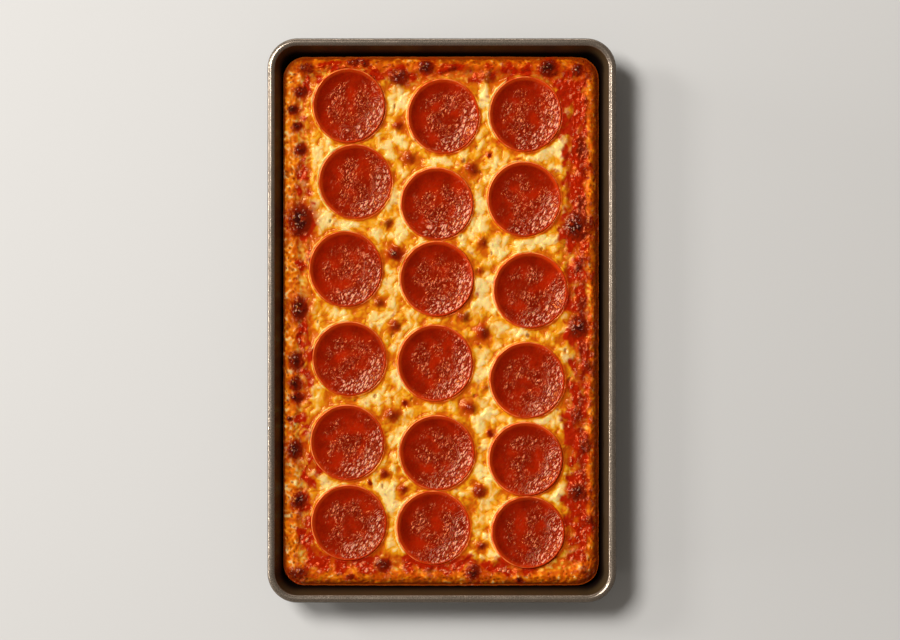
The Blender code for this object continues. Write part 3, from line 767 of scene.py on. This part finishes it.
def steel_material(settings):
    surface, nodes, shader = new_material("seasoned_steel")
    place = nodes.place()
    height = nodes.add("SeparateXYZ", {0: place}, "Z")
    grain = nodes.group("Grain", {"Size": 1.1 * MM, "Fine Share": 0.5})["Value"]
    stains, dents = nodes.noise(place, 60.0, 4.0), nodes.noise(place, 90.0, 0.5)
    worn = nodes.times(nodes.span(height, *RUBBED), nodes.span(grain, 0.38, 0.6, 0.45, 1.0))
    coated = nodes.mix(nodes.span(stains, 0.45, 0.7, 0.0, 0.5), settings.seasoned, settings.stain)
    # Painted shade: the walls go nearly black low down, in the gap by the crust, partly as burnt-on grease.
    coated = nodes.mix(nodes.span(height, *BURNT_AND_SHADE), settings.burnt_and_shade, coated)
    dull = nodes.plus(nodes.span(worn, 0.0, 1.0, 0.40, 0.18), nodes.span(stains, 0.3, 0.7, 0.0, 0.08))
    nodes.feed(shader, {
        "Base Color": nodes.mix(worn, coated, settings.worn),
        "Metallic": nodes.span(worn, 0.2, 0.8, 0.05, 0.85),
        "Roughness": dull,
        "Specular IOR Level": 0.2,
        "Normal": nodes.bump(nodes.plus(dents, nodes.times(grain, 0.5)), 0.3 * MM, 0.4),
    })
    return surface


def pepperoni_material(settings):
    """Meat with darker blotches and painted shade, and raised strokes and wrinkles whose crests carry specks
    of fat and painted highlights.
    """
    surface, nodes, shader = new_material("cured_pepperoni")
    masks = ("rim", "glow", "shaded", "streaks_and_glint", "wrinkled")
    rim, glow, shaded, streaks_and_glint, wrinkled = (nodes.carried(name) for name in masks)
    grain = nodes.group("Grain", {"Size": 2.1 * MM, "Fine Share": 0.45})["Value"]
    blotches = nodes.span(nodes.noise(nodes.place(), 110.0, 2.0), 0.35, 0.65, 0.0, 0.7)
    strokes, stroke_height = nodes.group(DOTS, {
        "Length": 3.1 * MM,
        "Width": nodes.span(streaks_and_glint, 0.0, 1.0, 1.32 * MM, 1.1 * MM),
        "Fill": nodes.span(streaks_and_glint, 0.0, 1.0, 0.50, 0.64),
        "Sway": nodes.span(streaks_and_glint, 0.0, 1.0, 1.8 * MM, 0.8 * MM),
    })
    wrinkles = {"Length": 1.7 * MM, "Width": 1.2 * MM, "Fill": 0.8, "Sway": 2.4 * MM}
    bumps, bump_height = nodes.group(DOTS, wrinkles)
    # Painted shade: darker where the slice is wrinkled but off a raised wrinkle.
    between = nodes.math("SUBTRACT", wrinkled, nodes.times(bump_height, wrinkled))
    # The crests' colour: real specks of fat, turning to a pale painted highlight on the side of the cup whose
    # inner slope faces the light.
    crest_fat_and_glint = nodes.mix(nodes.times(streaks_and_glint, 0.6), settings.fat_and_glint, settings.pale)
    colour = settings.meat
    for share, layer in (
        (blotches, settings.blotch_and_shade),
        (shaded, settings.blotch_and_shade),
        (glow, settings.glow),
        (nodes.times(between, 0.9), settings.blotch_and_shade),
        (nodes.times(bumps, wrinkled, 0.12), settings.fat_and_glint),
        (nodes.times(strokes, wrinkled), crest_fat_and_glint),
        # The rim colour is a painted highlight along the edge nearest the light.
        (rim, settings.rim),
    ):
        colour = nodes.mix(share, colour, layer)
    raised = nodes.times(nodes.plus(stroke_height, nodes.times(bump_height, 0.7)), wrinkled)
    height = nodes.plus(raised, nodes.times(grain, 0.25))
    nodes.feed(shader, {
        "Base Color": colour,
        "Roughness": nodes.span(grain, 0.3, 0.7, 0.12, 0.24),
        "Specular IOR Level": 0.42,
        "Specular Tint": settings.sheen,
        "Subsurface Weight": 0.35,
        "Subsurface Radius": (1.0, 0.14, 0.04),
        "Subsurface Scale": 2.5 * MM,
        "Normal": nodes.bump(nodes.times(height, nodes.span(rim, 0.3, 0.9, 1.0, 0.15)), 0.6 * MM),
    })
    return surface


def floor_material(settings):
    surface, nodes, shader = new_material("plain_floor")
    nodes.feed(shader, {"Base Color": settings.floor, "Roughness": 0.8})
    return surface


def a_length(name, description, default):
    return FloatProperty(
        name=name, description=description, default=default, min=0.0, unit="LENGTH", precision=4)


def a_colour(name, description, default):
    return FloatVectorProperty(
        name=name, description=description, default=default, size=3, min=0, max=1, subtype="COLOR")


class PanSettings(PropertyGroup):
    wall_lean: FloatProperty(
        name="Wall lean", description="How far the walls lean out", default=radians(19), unit="ROTATION")
    bead_radius: a_length("Rim radius", "Half the thickness of the rolled rim", 2.5 * MM)
    corner: a_length("Corner radius", "Radius of the rim's corners", 19 * MM)
    sheet: a_length("Sheet", "Thickness of the steel sheet", 1 * MM)
    floor_fillet: a_length("Floor fillet", "Radius between the walls and the floor", 6 * MM)
    seasoned: a_colour("Seasoned", "Dark baked-on colour of the walls", (0.041, 0.024, 0.0085))
    worn: a_colour("Worn", "Grey of the rubbed rim", (0.36, 0.285, 0.22))
    stain: a_colour("Stain", "Brown of the baked-on grease", (0.040, 0.020, 0.008))
    # Nearly black low on the walls: partly burnt-on grease, partly painted shade in the narrow gap by the
    # crust.
    burnt_and_shade: a_colour("Burnt_And_Shade", "Nearly black crust low on the walls", (0.005, 0.0015, 0.0008))


class CrustSettings(PropertyGroup):
    orange: a_colour("Deep golden", "Darker golden crust", (0.58, 0.085, 0.0015))
    golden: a_colour("Golden", "Golden crust", (0.86, 0.24, 0.004))
    toast: a_colour("Toasted", "Toasted edge and pores", (0.27, 0.032, 0.001))
    sheen: a_colour("Sheen", "Tint of the oily gloss", (0.9, 0.35, 0.06))
    dryness: FloatProperty(
        name="Dryness", description="How much duller the crust is", default=0.25, min=0, max=0.6)


class SauceSettings(PropertyGroup):
    orange: a_colour("Orange", "Oily cheese over the sauce", (0.62, 0.10, 0.002))
    red: a_colour("Red", "Tomato sauce", (0.43, 0.012, 0.0003))
    sheen: a_colour("Sheen", "Tint of the oily gloss", (1.0, 0.25, 0.08))


class CheeseSettings(PropertyGroup):
    pitch: a_length("Mesh size", "Distance between the cheese's vertices", 0.6 * MM)
    golden: a_colour("Golden", "Golden cheese", (0.84, 0.34, 0.007))
    cream: a_colour("Cream", "Pale cheese", (0.93, 0.66, 0.235))
    sheen: a_colour("Sheen", "Tint of the oily gloss", (1.0, 0.68, 0.3))


class PepperoniSettings(PropertyGroup):
    seed: IntProperty(name="Seed", description="Seed of each slice's uneven grain", default=31)
    meat: a_colour("Meat", "Cured meat", (0.43, 0.0138, 0.0005))
    # Fat serves real specks of fat and also painted highlights on raised crests; pale is the brightest
    # painted highlight, on the side of the cup whose inner slope faces the light.
    fat_and_glint: a_colour("Fat_And_Glint", "Raised specks of fat", (0.91, 0.24, 0.10))
    pale: a_colour("Pale", "The palest specks, on the side away from the light", (0.98, 0.49, 0.32))
    # Dark serves the real darker blotches and also painted shade, in the cup under the lip and between the
    # wrinkles.
    blotch_and_shade: a_colour("Blotch_And_Shade", "Darker blotches", (0.21, 0.0055, 0.0003))
    glow: a_colour("Glow", "Meat that the light shines through by the edge", (0.80, 0.07, 0.004))
    # A painted highlight: the pale line along the curled edge nearest the light.
    rim: a_colour("Rim", "The curled edge", (0.93, 0.25, 0.055))
    sheen: a_colour("Sheen", "Tint of the oily gloss", (1.0, 0.30, 0.07))


class StageSettings(PropertyGroup):
    lens: FloatProperty(name="Lens", description="Focal length", default=120.0, unit="CAMERA")
    pixel: a_length("Pixel", "Size of a pixel at the pan's rim", 0.63 * MM)
    pan_pixel: FloatVectorProperty(
        name="Middle", description="The pixel that shows the pan's middle", default=(441.8, 320.5), size=2)
    floor: a_colour("Floor", "Colour of the plain floor", (0.62, 0.60, 0.57))


class PIZZA_OT_pan(Operator):
    """Models the steel pan with its rolled rim"""
    bl_idname = "pizza.pan"
    bl_label = "Pan"

    BEAD_END = radians(325)  # where the bead's outer face curls under and meets the wall
    OVER_STEPS = 16
    UNDER_STEPS = 14
    FILLET_STEPS = 6
    CORNER_STEPS = 20

    def execute(self, context):
        settings = context.scene.pizza_pan
        low, high = (Vector(corner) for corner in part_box("pan"))
        radius, lean = settings.bead_radius, settings.wall_lean
        sheet, fillet = settings.sheet, settings.floor_fillet
        bead_height = high.z - radius
        wall_top = bead_height + radius * sin(lean)
        foot = radius * (1 + cos(lean)) - sheet / cos(lean) + wall_top * tan(lean)
        bead, hub = (radius, bead_height), (foot + fillet * (1 / cos(lean) - tan(lean)), fillet)
        bend = (lean - pi, -pi / 2, self.FILLET_STEPS)
        over = self.arc(bead, radius, pi, lean, self.OVER_STEPS)
        over += self.arc(hub, fillet - sheet, *bend)
        under = self.arc(bead, radius, pi, self.BEAD_END, self.UNDER_STEPS)
        under += self.arc(hub, fillet, *bend)
        halves = []
        for section, up in ((over, 1), (under, -1)):
            halves.append(self.rounded_face(high - low, settings.corner, bead_height))
            if up < 0:
                bpy.ops.mesh.flip_normals()
            self.inset_along(section, up)
            set_mode("OBJECT")
        activate(*halves)
        bpy.ops.object.join()
        weld()
        end_edit()
        pan = bpy.context.object
        pan.name = "steel_pan"
        finish_piece(pan, steel_material(settings), "pan", "pan")
        return {"FINISHED"}

    def arc(self, hub, size, start, end, steps):
        turns = [start + (end - start) * i / steps for i in range(steps + 1)]
        return [(hub[0] + size * cos(turn), hub[1] + size * sin(turn)) for turn in turns]

    def rounded_face(self, size, corner, height):
        """A flat face with rounded corners, in edit mode with the face selected."""
        deselect_all()
        bpy.ops.mesh.primitive_plane_add(size=1, location=(0, 0, height))
        piece = bpy.context.object
        piece.scale = (size.x, size.y, 1)
        bpy.ops.object.transform_apply(location=True, rotation=False, scale=True)
        set_mode("EDIT")
        pick_all()
        bpy.ops.mesh.bevel(offset=corner, segments=self.CORNER_STEPS, affect="VERTICES", clamp_overlap=False)
        bpy.ops.mesh.select_mode(type="FACE")
        pick_all()
        return piece

    def inset_along(self, section, up):
        """Insets the selected face step by step so that its edge follows a section of (inset, height)."""
        for (inset, height), (next_inset, next_height) in zip(section, section[1:]):
            thickness, depth = next_inset - inset, (next_height - height) * up
            bpy.ops.mesh.inset(thickness=thickness, depth=depth, use_boundary=True, use_even_offset=True)


class PIZZA_OT_crust(Operator):
    """Models the baked crust with its uneven, blistered rim"""
    bl_idname = "pizza.crust"
    bl_label = "Crust"

    ACROSS = 48
    SIDE = ((0.0, 7.9, 1.35), (0.08, 5.2, 4.2), (0.24, 0.0, 20.0))  # share of the grid, inset and height
    RIM_END = 0.94  # the share of the grid where the rim ends and the tray's wall starts
    SPREAD = 0.5  # how far the crags of the side reach past the solid
    END_SPREAD = 0.5  # how much further they reach at the pizza's two ends

    def execute(self, context):
        settings = context.scene.pizza_crust
        crust, i, v = add_ring_grid("baked_crust", self.ACROSS)
        side_shares, side_insets, side_heights = zip(*self.SIDE)
        side_end = side_shares[-1]
        on_side = v < side_end
        share = np.clip((v - side_end) / (self.RIM_END - side_end), 0, 1) ** 1.3
        spread = self.SPREAD + self.END_SPREAD * abs(OUTWARDS[i][:, 1]) ** 3
        inset = np.where(on_side, np.interp(v, side_shares, side_insets), 0) - spread * (1 - share)
        flat = OUTLINE[i] + (TRAY_EDGE[i] - OUTLINE[i]) * share[:, None] - OUTWARDS[i] * inset[:, None]
        x, y = flat.T
        masks, height = pizza_top(x, y)
        height = np.where(on_side, np.interp(v, side_shares, side_heights), height)
        down = np.clip((v - self.RIM_END) / (1 - self.RIM_END), 0, 1)
        height = height * (1 - down) + TRAY_FLOOR * down
        crags = 0.25 * noise((x + height, y + height), "crags") + 0.15 * noise((x, y + height), "small crags")
        crags = crags * ramp(0.02, 0.15, v) * ramp(0.42, 0.2, v)
        set_vertices(crust.data, flat + OUTWARDS[i] * crags[:, None], height)
        side_masks = {"toast": 0.8 + 0.2 * noise((x, y), "crust side"), "char": 0.5}
        for name in ("toast", "red", "brown_and_shade", "char", "painted_glints", "sauce_glints"):
            masks[name] = np.where(on_side, side_masks.get(name, 0.0), masks[name])
        set_masks(crust.data, masks)
        close_ends()
        finish_piece(crust, top_material("golden_crust", settings, 0.36, 0.7), "crust", "crust")
        return {"FINISHED"}


class PIZZA_OT_sauce(Operator):
    """Models the tomato sauce that shows round the cheese"""
    bl_idname = "pizza.sauce"
    bl_label = "Sauce"

    ACROSS = 34
    END = 0.04  # the share of the grid at each end that goes down to the sauce's underside
    UNDER_CRUST = 1.2  # how far the sauce runs on under the crust's rim
    UNDER_CHEESE = 3.0  # how far it runs on under the cheese
    CRUST_COVER = 0.6  # how far it stays below the rim
    CHEESE_COVER = 1.2  # how far it stays below the cheese

    def execute(self, context):
        settings = context.scene.pizza_sauce
        sauce, i, v = add_ring_grid("tomato_sauce", self.ACROSS)
        outer = TRAY_EDGE[i] + OUTWARDS[i] * self.UNDER_CRUST
        inner = CHEESE_EDGE[i] - OUTWARDS[i] * self.UNDER_CHEESE
        share = np.clip((v - self.END) / (1 - 2 * self.END), 0, 1)
        flat = outer + (inner - outer) * share[:, None]
        x, y = flat.T
        masks, height = pizza_top(x, y)
        height = height - self.CRUST_COVER * ramp(-0.1, -1.0, depth_within(x, y, TRAY_EDGE))
        height = height - self.CHEESE_COVER * ramp(0.1, 2.0, depth_within(x, y, CHEESE_EDGE))
        height = np.where(v < self.END, SAUCE_UNDERSIDE, height)
        height = np.where(v > 1 - self.END, CHEESE_UNDERSIDE, height)
        set_vertices(sauce.data, flat, height)
        set_masks(sauce.data, masks)
        close_ends()
        finish_piece(sauce, top_material("tomato_sauce", settings, 0.4, 0.3), "sauce", "sauce")
        return {"FINISHED"}


class PIZZA_OT_cheese(Operator):
    """Models the melted cheese with its bubbles, settled round the slices"""
    bl_idname = "pizza.cheese"
    bl_label = "Cheese"

    MARGIN = 1  # how far the grid reaches past the cheese's edge at first
    BORDER = 0.9  # how far the cheese runs out past its solid
    BORDER_DROP = 0.6  # how far it comes down there
    SOCKET_FLOOR = 18.4  # height of the cheese under the slices
    SOCKET_HOLE = -3.0  # how far under a slice the sheet is cut out, to be filled with one face
    SOCKET_EDGE = -2.0  # the cut's edge lies further under a slice than this

    def execute(self, context):
        settings = context.scene.pizza_cheese
        low, high = CHEESE_EDGE.min(axis=0) - self.MARGIN, CHEESE_EDGE.max(axis=0) + self.MARGIN
        size = high - low
        columns, rows = (int(side * MM / settings.pitch) for side in size)
        cheese, u, v = add_grid("melted_cheese", columns, rows)
        x, y = low[0] + u * size[0], low[1] + v * size[1]
        masks, height = pizza_top(x, y)
        in_melt, off_slice = depth_within(x, y, CHEESE_EDGE), off_slices(x, y)
        height = height - self.BORDER_DROP * ramp(0.0, -self.BORDER, in_melt)
        sunk = ramp(0.3, -0.9, off_slice)
        height = height * (1 - sunk) + self.SOCKET_FLOOR * sunk
        set_vertices(cheese.data, np.column_stack((x, y)), height)
        set_masks(cheese.data, masks)
        self.delete_vertices(cheese, (in_melt < -self.BORDER) | (off_slice < self.SOCKET_HOLE))
        self.close(cheese)
        finish_piece(cheese, top_material("melted_cheese", settings, 0.28, 0.2), "cheese", "cheese")
        return {"FINISHED"}

    def delete_vertices(self, cheese, unseen):
        """Deletes vertices, what they leave loose, and vertices where only corners of the rest meet."""
        set_mode("EDIT")
        bpy.ops.mesh.select_mode(type="VERT")
        pick_all(False)
        set_mode("OBJECT")
        cheese.data.vertices.foreach_set("select", unseen)
        set_mode("EDIT")
        self.delete_picked()
        pick_all(False)
        bpy.ops.mesh.select_non_manifold(
            use_wire=False, use_boundary=False, use_multi_face=False, use_non_contiguous=False)
        self.delete_picked()
        bpy.ops.mesh.select_mode(type="EDGE")
        pick_all(False)
        set_mode("OBJECT")

    def delete_picked(self):
        bpy.ops.mesh.delete(type="VERT")
        pick_all()
        bpy.ops.mesh.delete_loose()

    def close(self, cheese):
        """Fills the floors of the sockets under the slices, then gives the sheet a side and an underside."""
        x, y, _ = vertex_array(cheese.data).T / MM
        select_border(cheese.data, off_slices(x, y) < self.SOCKET_EDGE)
        set_mode("EDIT")
        bpy.ops.mesh.fill_holes(sides=0)
        pick_all(False)
        set_mode("OBJECT")
        select_border(cheese.data, np.ones(len(x)))
        set_mode("EDIT")
        bpy.ops.mesh.extrude_edges_move(TRANSFORM_OT_translate={"value": (0, 0, -1 * MM)})
        bpy.ops.transform.resize(value=(1, 1, 0), center_override=(0, 0, CHEESE_UNDERSIDE * MM))
        bpy.ops.mesh.edge_face_add()
        end_edit()


class PIZZA_OT_pepperoni(Operator):
    """Models one cupped slice and lays an uneven copy of it on each slice's place"""
    bl_idname = "pizza.pepperoni"
    bl_label = "Pepperoni"

    # The section as share of the radius and height in millimetres, out along the underside and over the lip
    UNDER = ((0.72, 0.0), (0.90, 0.8), (0.985, 2.2), (1.01, 3.5), (1.018, 4.4), (1.005, 4.95))
    OVER = ((0.985, 5.05), (0.965, 4.75), (0.93, 4.15), (0.85, 3.45), (0.75, 2.85), (0.62, 2.4), (0.45, 2.15))
    STEPS = 48
    SPREAD = 0.45  # how much further than its solid a slice's soft lip reaches
    WAVES = (1, 2, 3, 5)  # waves round a slice's lip
    WAVE_RISE = 0.4
    GRAIN = ((0.12, 3.2), (0.09, 1.5), (0.25, 12))  # rise and size of a slice's lumps
    CURL_SPREAD = (0.9, 1.08)  # how much more or less than the section a slice curls up
    LIT_TURN = radians(-38)  # the side of a slice that faces the light, below the photo's right
    LIT_SPREAD = 0.3
    SEED_STEP = 10

    def execute(self, context):
        settings = context.scene.pizza_pepperoni
        surface = pepperoni_material(settings)
        master = self.master()
        for number, (name, place) in enumerate(zip(SLICE_NODES, SLICES)):
            activate(master)
            bpy.ops.object.duplicate()
            piece = bpy.context.object
            piece.name = f"{name}_slice"
            self.shape(piece, *place, settings.seed + self.SEED_STEP * number)
            finish_piece(piece, surface, "pepperoni", name)
        bpy.data.objects.remove(master)
        return {"FINISHED"}

    def master(self):
        """A smooth cupped disc of radius 1, its heights in millimetres."""
        deselect_all()
        share, height = self.UNDER[0]
        bpy.ops.mesh.primitive_circle_add(vertices=self.STEPS, radius=share, location=(0, 0, height))
        master = bpy.context.object
        bpy.ops.object.transform_apply(location=True, rotation=False, scale=False)
        set_mode("EDIT")
        pick_all()
        bpy.ops.mesh.fill_grid(span=self.STEPS // 4)
        pick_open_edges()
        before = share, height
        for share, height in self.UNDER[1:] + self.OVER:
            lift, growth = height - before[1], share / before[0]
            bpy.ops.mesh.extrude_edges_move(TRANSFORM_OT_translate={"value": (0, 0, lift)})
            bpy.ops.transform.resize(value=(growth, growth, 1), center_override=(0, 0, height))
            before = share, height
        bpy.ops.mesh.fill_grid(span=self.STEPS // 4)
        end_edit()
        smooth = master.modifiers.new("Smooth", "SUBSURF")
        smooth.levels = smooth.render_levels = 2
        bpy.ops.object.modifier_apply(modifier=smooth.name)
        return master

    def shape(self, piece, middle, half_x, half_y, seat, seed):
        """Sizes the disc for its place and makes its lip and its grain uneven."""
        draw = np.random.default_rng(seed)
        disc_x, disc_y, disc_z = vertex_array(piece.data).T
        share, turn = np.hypot(disc_x, disc_y), np.arctan2(disc_y, disc_x)
        wave = 0
        for count in self.WAVES:
            wave = wave + draw.uniform(-1, 1) / count * np.sin(count * turn + draw.uniform(0, tau))
        x, y = middle.x + disc_x * (half_x + self.SPREAD), middle.y + disc_y * (half_y + self.SPREAD)
        upper = ramp(1.2, 2.0, disc_z)
        height = disc_z * draw.uniform(*self.CURL_SPREAD)
        height = height + self.WAVE_RISE * wave * ramp(0.6, 1.0, share) * upper
        grain = sum(rise * lumps(x, y, size, seed + i) for i, (rise, size) in enumerate(self.GRAIN))
        height = height + grain * upper * ramp(1.0, 0.85, share)
        set_vertices(piece.data, np.column_stack((x, y)), height + seat)
        facing = 0.5 + 0.5 * np.cos(turn - self.LIT_TURN - draw.uniform(-self.LIT_SPREAD, self.LIT_SPREAD))
        patchy, broken = lumps(x, y, 9.0, seed + 3), lumps(x, y, 5.0, seed + 4)
        set_masks(piece.data, self.masks(share, facing, patchy, broken))

    def masks(self, share, facing, patchy, broken):
        """Where a slice has a painted highlight along its rim, glows, lies in painted shade, and has strokes
        and wrinkles.
        """
        outer = ramp(0.5, 0.75, share + 0.1 * facing)
        # Strokes and wrinkles, with the painted highlights coloured on them, gather on the side of the cup
        # whose inner slope faces the light; the other side's outer ring stays smooth.
        streaks_and_glint = outer * ramp(0.55, 0.9, facing)
        wrinkled = 1 - outer * (1 - ramp(0.25, 0.8, facing))
        wrinkled = wrinkled * ramp(0.985 - 0.005 * facing, 0.90 + 0.05 * facing, share)
        wrinkled = wrinkled * most((0.58 + 1.6 * patchy).clip(0.05, 1), streaks_and_glint)
        # Painted highlight along the edge nearest the light, broken here and there.
        rim = ramp(0.974, 0.994, share) * ramp(0.95, 0.2, facing) * (0.65 + 1.1 * broken).clip(0.15, 1)
        glow = most(0.6 * ramp(0.88, 0.95, share) * (1 - 0.8 * facing), 0.5 * ramp(0.98, 1.0, share))
        # Painted shade in the cup under the lip, on the side nearest the light.
        shaded = 0.55 * ramp(0.4, 0.8, share) * ramp(0.65, 0.15, facing)
        return {"rim": rim, "glow": glow, "shaded": shaded, "streaks_and_glint": streaks_and_glint, "wrinkled": wrinkled}


class PIZZA_OT_stage(Operator):
    """Adds the plain floor, the soft studio light and the camera straight above"""
    bl_idname = "pizza.stage"
    bl_label = "Stage"

    LIGHT_DISTANCE = 3.2
    # Each light: angle round from +X and angle up in degrees, width, height and power
    LIGHTS = {
        "key_light": (143, 57, 1.0, 1.0, 97.0),
        "low_light": (157, 30, 0.6, 0.6, 25.0),
        "side_strip": (178, 6, 2.2, 0.1, 70.0),
        "far_strip": (92, 2, 2.2, 0.3, 20.0),
    }
    FLOOR_SIZE = 6
    SKY = (1.0, 0.93, 0.85, 1.0)
    SKY_STRENGTH = 0.16
    IMAGE_SIZE = (900, 640)

    def execute(self, context):
        settings = context.scene.pizza_stage
        deselect_all()
        bpy.ops.mesh.primitive_plane_add(size=self.FLOOR_SIZE)
        floor = bpy.context.object
        floor.name = "plain_floor"
        floor.data.materials.append(floor_material(settings))
        for name, lamp in self.LIGHTS.items():
            self.light(name, *lamp)
        world = bpy.data.worlds.new("soft_studio")
        world.use_nodes = True
        background = world.node_tree.nodes["Background"]
        background.inputs["Color"].default_value = self.SKY
        background.inputs["Strength"].default_value = self.SKY_STRENGTH
        context.scene.world = world
        self.camera(context, settings)
        context.scene.view_settings.view_transform = "Standard"
        return {"FINISHED"}

    def light(self, name, turn, rise, width, height, power):
        """A rectangular lamp that shines on the origin."""
        turn, rise = radians(turn), radians(rise)
        flat = cos(rise)
        direction = Vector((flat * cos(turn), flat * sin(turn), sin(rise)))
        lamp = bpy.data.lights.new(name, "AREA")
        lamp.shape = "RECTANGLE"
        lamp.size, lamp.size_y, lamp.energy = width, height, power
        holder = bpy.data.objects.new(name, lamp)
        holder.location = self.LIGHT_DISTANCE * direction
        holder.rotation_euler = (-direction).to_track_quat("-Z", "Y").to_euler()
        bpy.context.scene.collection.objects.link(holder)

    def camera(self, context, settings):
        """Straight above, where the pan's middle falls on its pixel of the image."""
        lens = bpy.data.cameras.new("camera")
        lens.lens = settings.lens
        camera = bpy.data.objects.new("camera", lens)
        width, height = self.IMAGE_SIZE
        distance = width * settings.pixel * settings.lens / lens.sensor_width
        across = (width / 2 - settings.pan_pixel[0]) * settings.pixel
        along = (settings.pan_pixel[1] - height / 2) * settings.pixel
        camera.location = (across, along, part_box("pan")[1][2] + distance)
        context.scene.collection.objects.link(camera)
        context.scene.camera = camera


class PIZZA_PT_panel(Panel):
    """Lists the pizza's operators and settings"""
    bl_idname = "PIZZA_PT_panel"
    bl_label = "Pan Pizza"
    bl_space_type = "VIEW_3D"
    bl_region_type = "UI"
    bl_category = "Pizza"

    def draw(self, context):
        for name, (operator, settings) in PIECES.items():
            box = self.layout.box()
            box.operator(operator.bl_idname)
            for key in settings.__annotations__:
                box.prop(getattr(context.scene, f"pizza_{name}"), key)


PIECES = {
    "pan": (PIZZA_OT_pan, PanSettings),
    "crust": (PIZZA_OT_crust, CrustSettings),
    "sauce": (PIZZA_OT_sauce, SauceSettings),
    "cheese": (PIZZA_OT_cheese, CheeseSettings),
    "pepperoni": (PIZZA_OT_pepperoni, PepperoniSettings),
    "stage": (PIZZA_OT_stage, StageSettings),
}


def register():
    for name, (operator, settings) in PIECES.items():
        bpy.utils.register_class(settings)
        bpy.utils.register_class(operator)
        setattr(bpy.types.Scene, f"pizza_{name}", PointerProperty(type=settings))
    bpy.utils.register_class(PIZZA_PT_panel)


def unregister():
    bpy.utils.unregister_class(PIZZA_PT_panel)
    for name, (operator, settings) in PIECES.items():
        delattr(bpy.types.Scene, f"pizza_{name}")
        bpy.utils.unregister_class(operator)
        bpy.utils.unregister_class(settings)


def main():
    register()
    for name in PIECES:
        getattr(bpy.ops.pizza, name)()


if __name__ == "__main__":
    main()
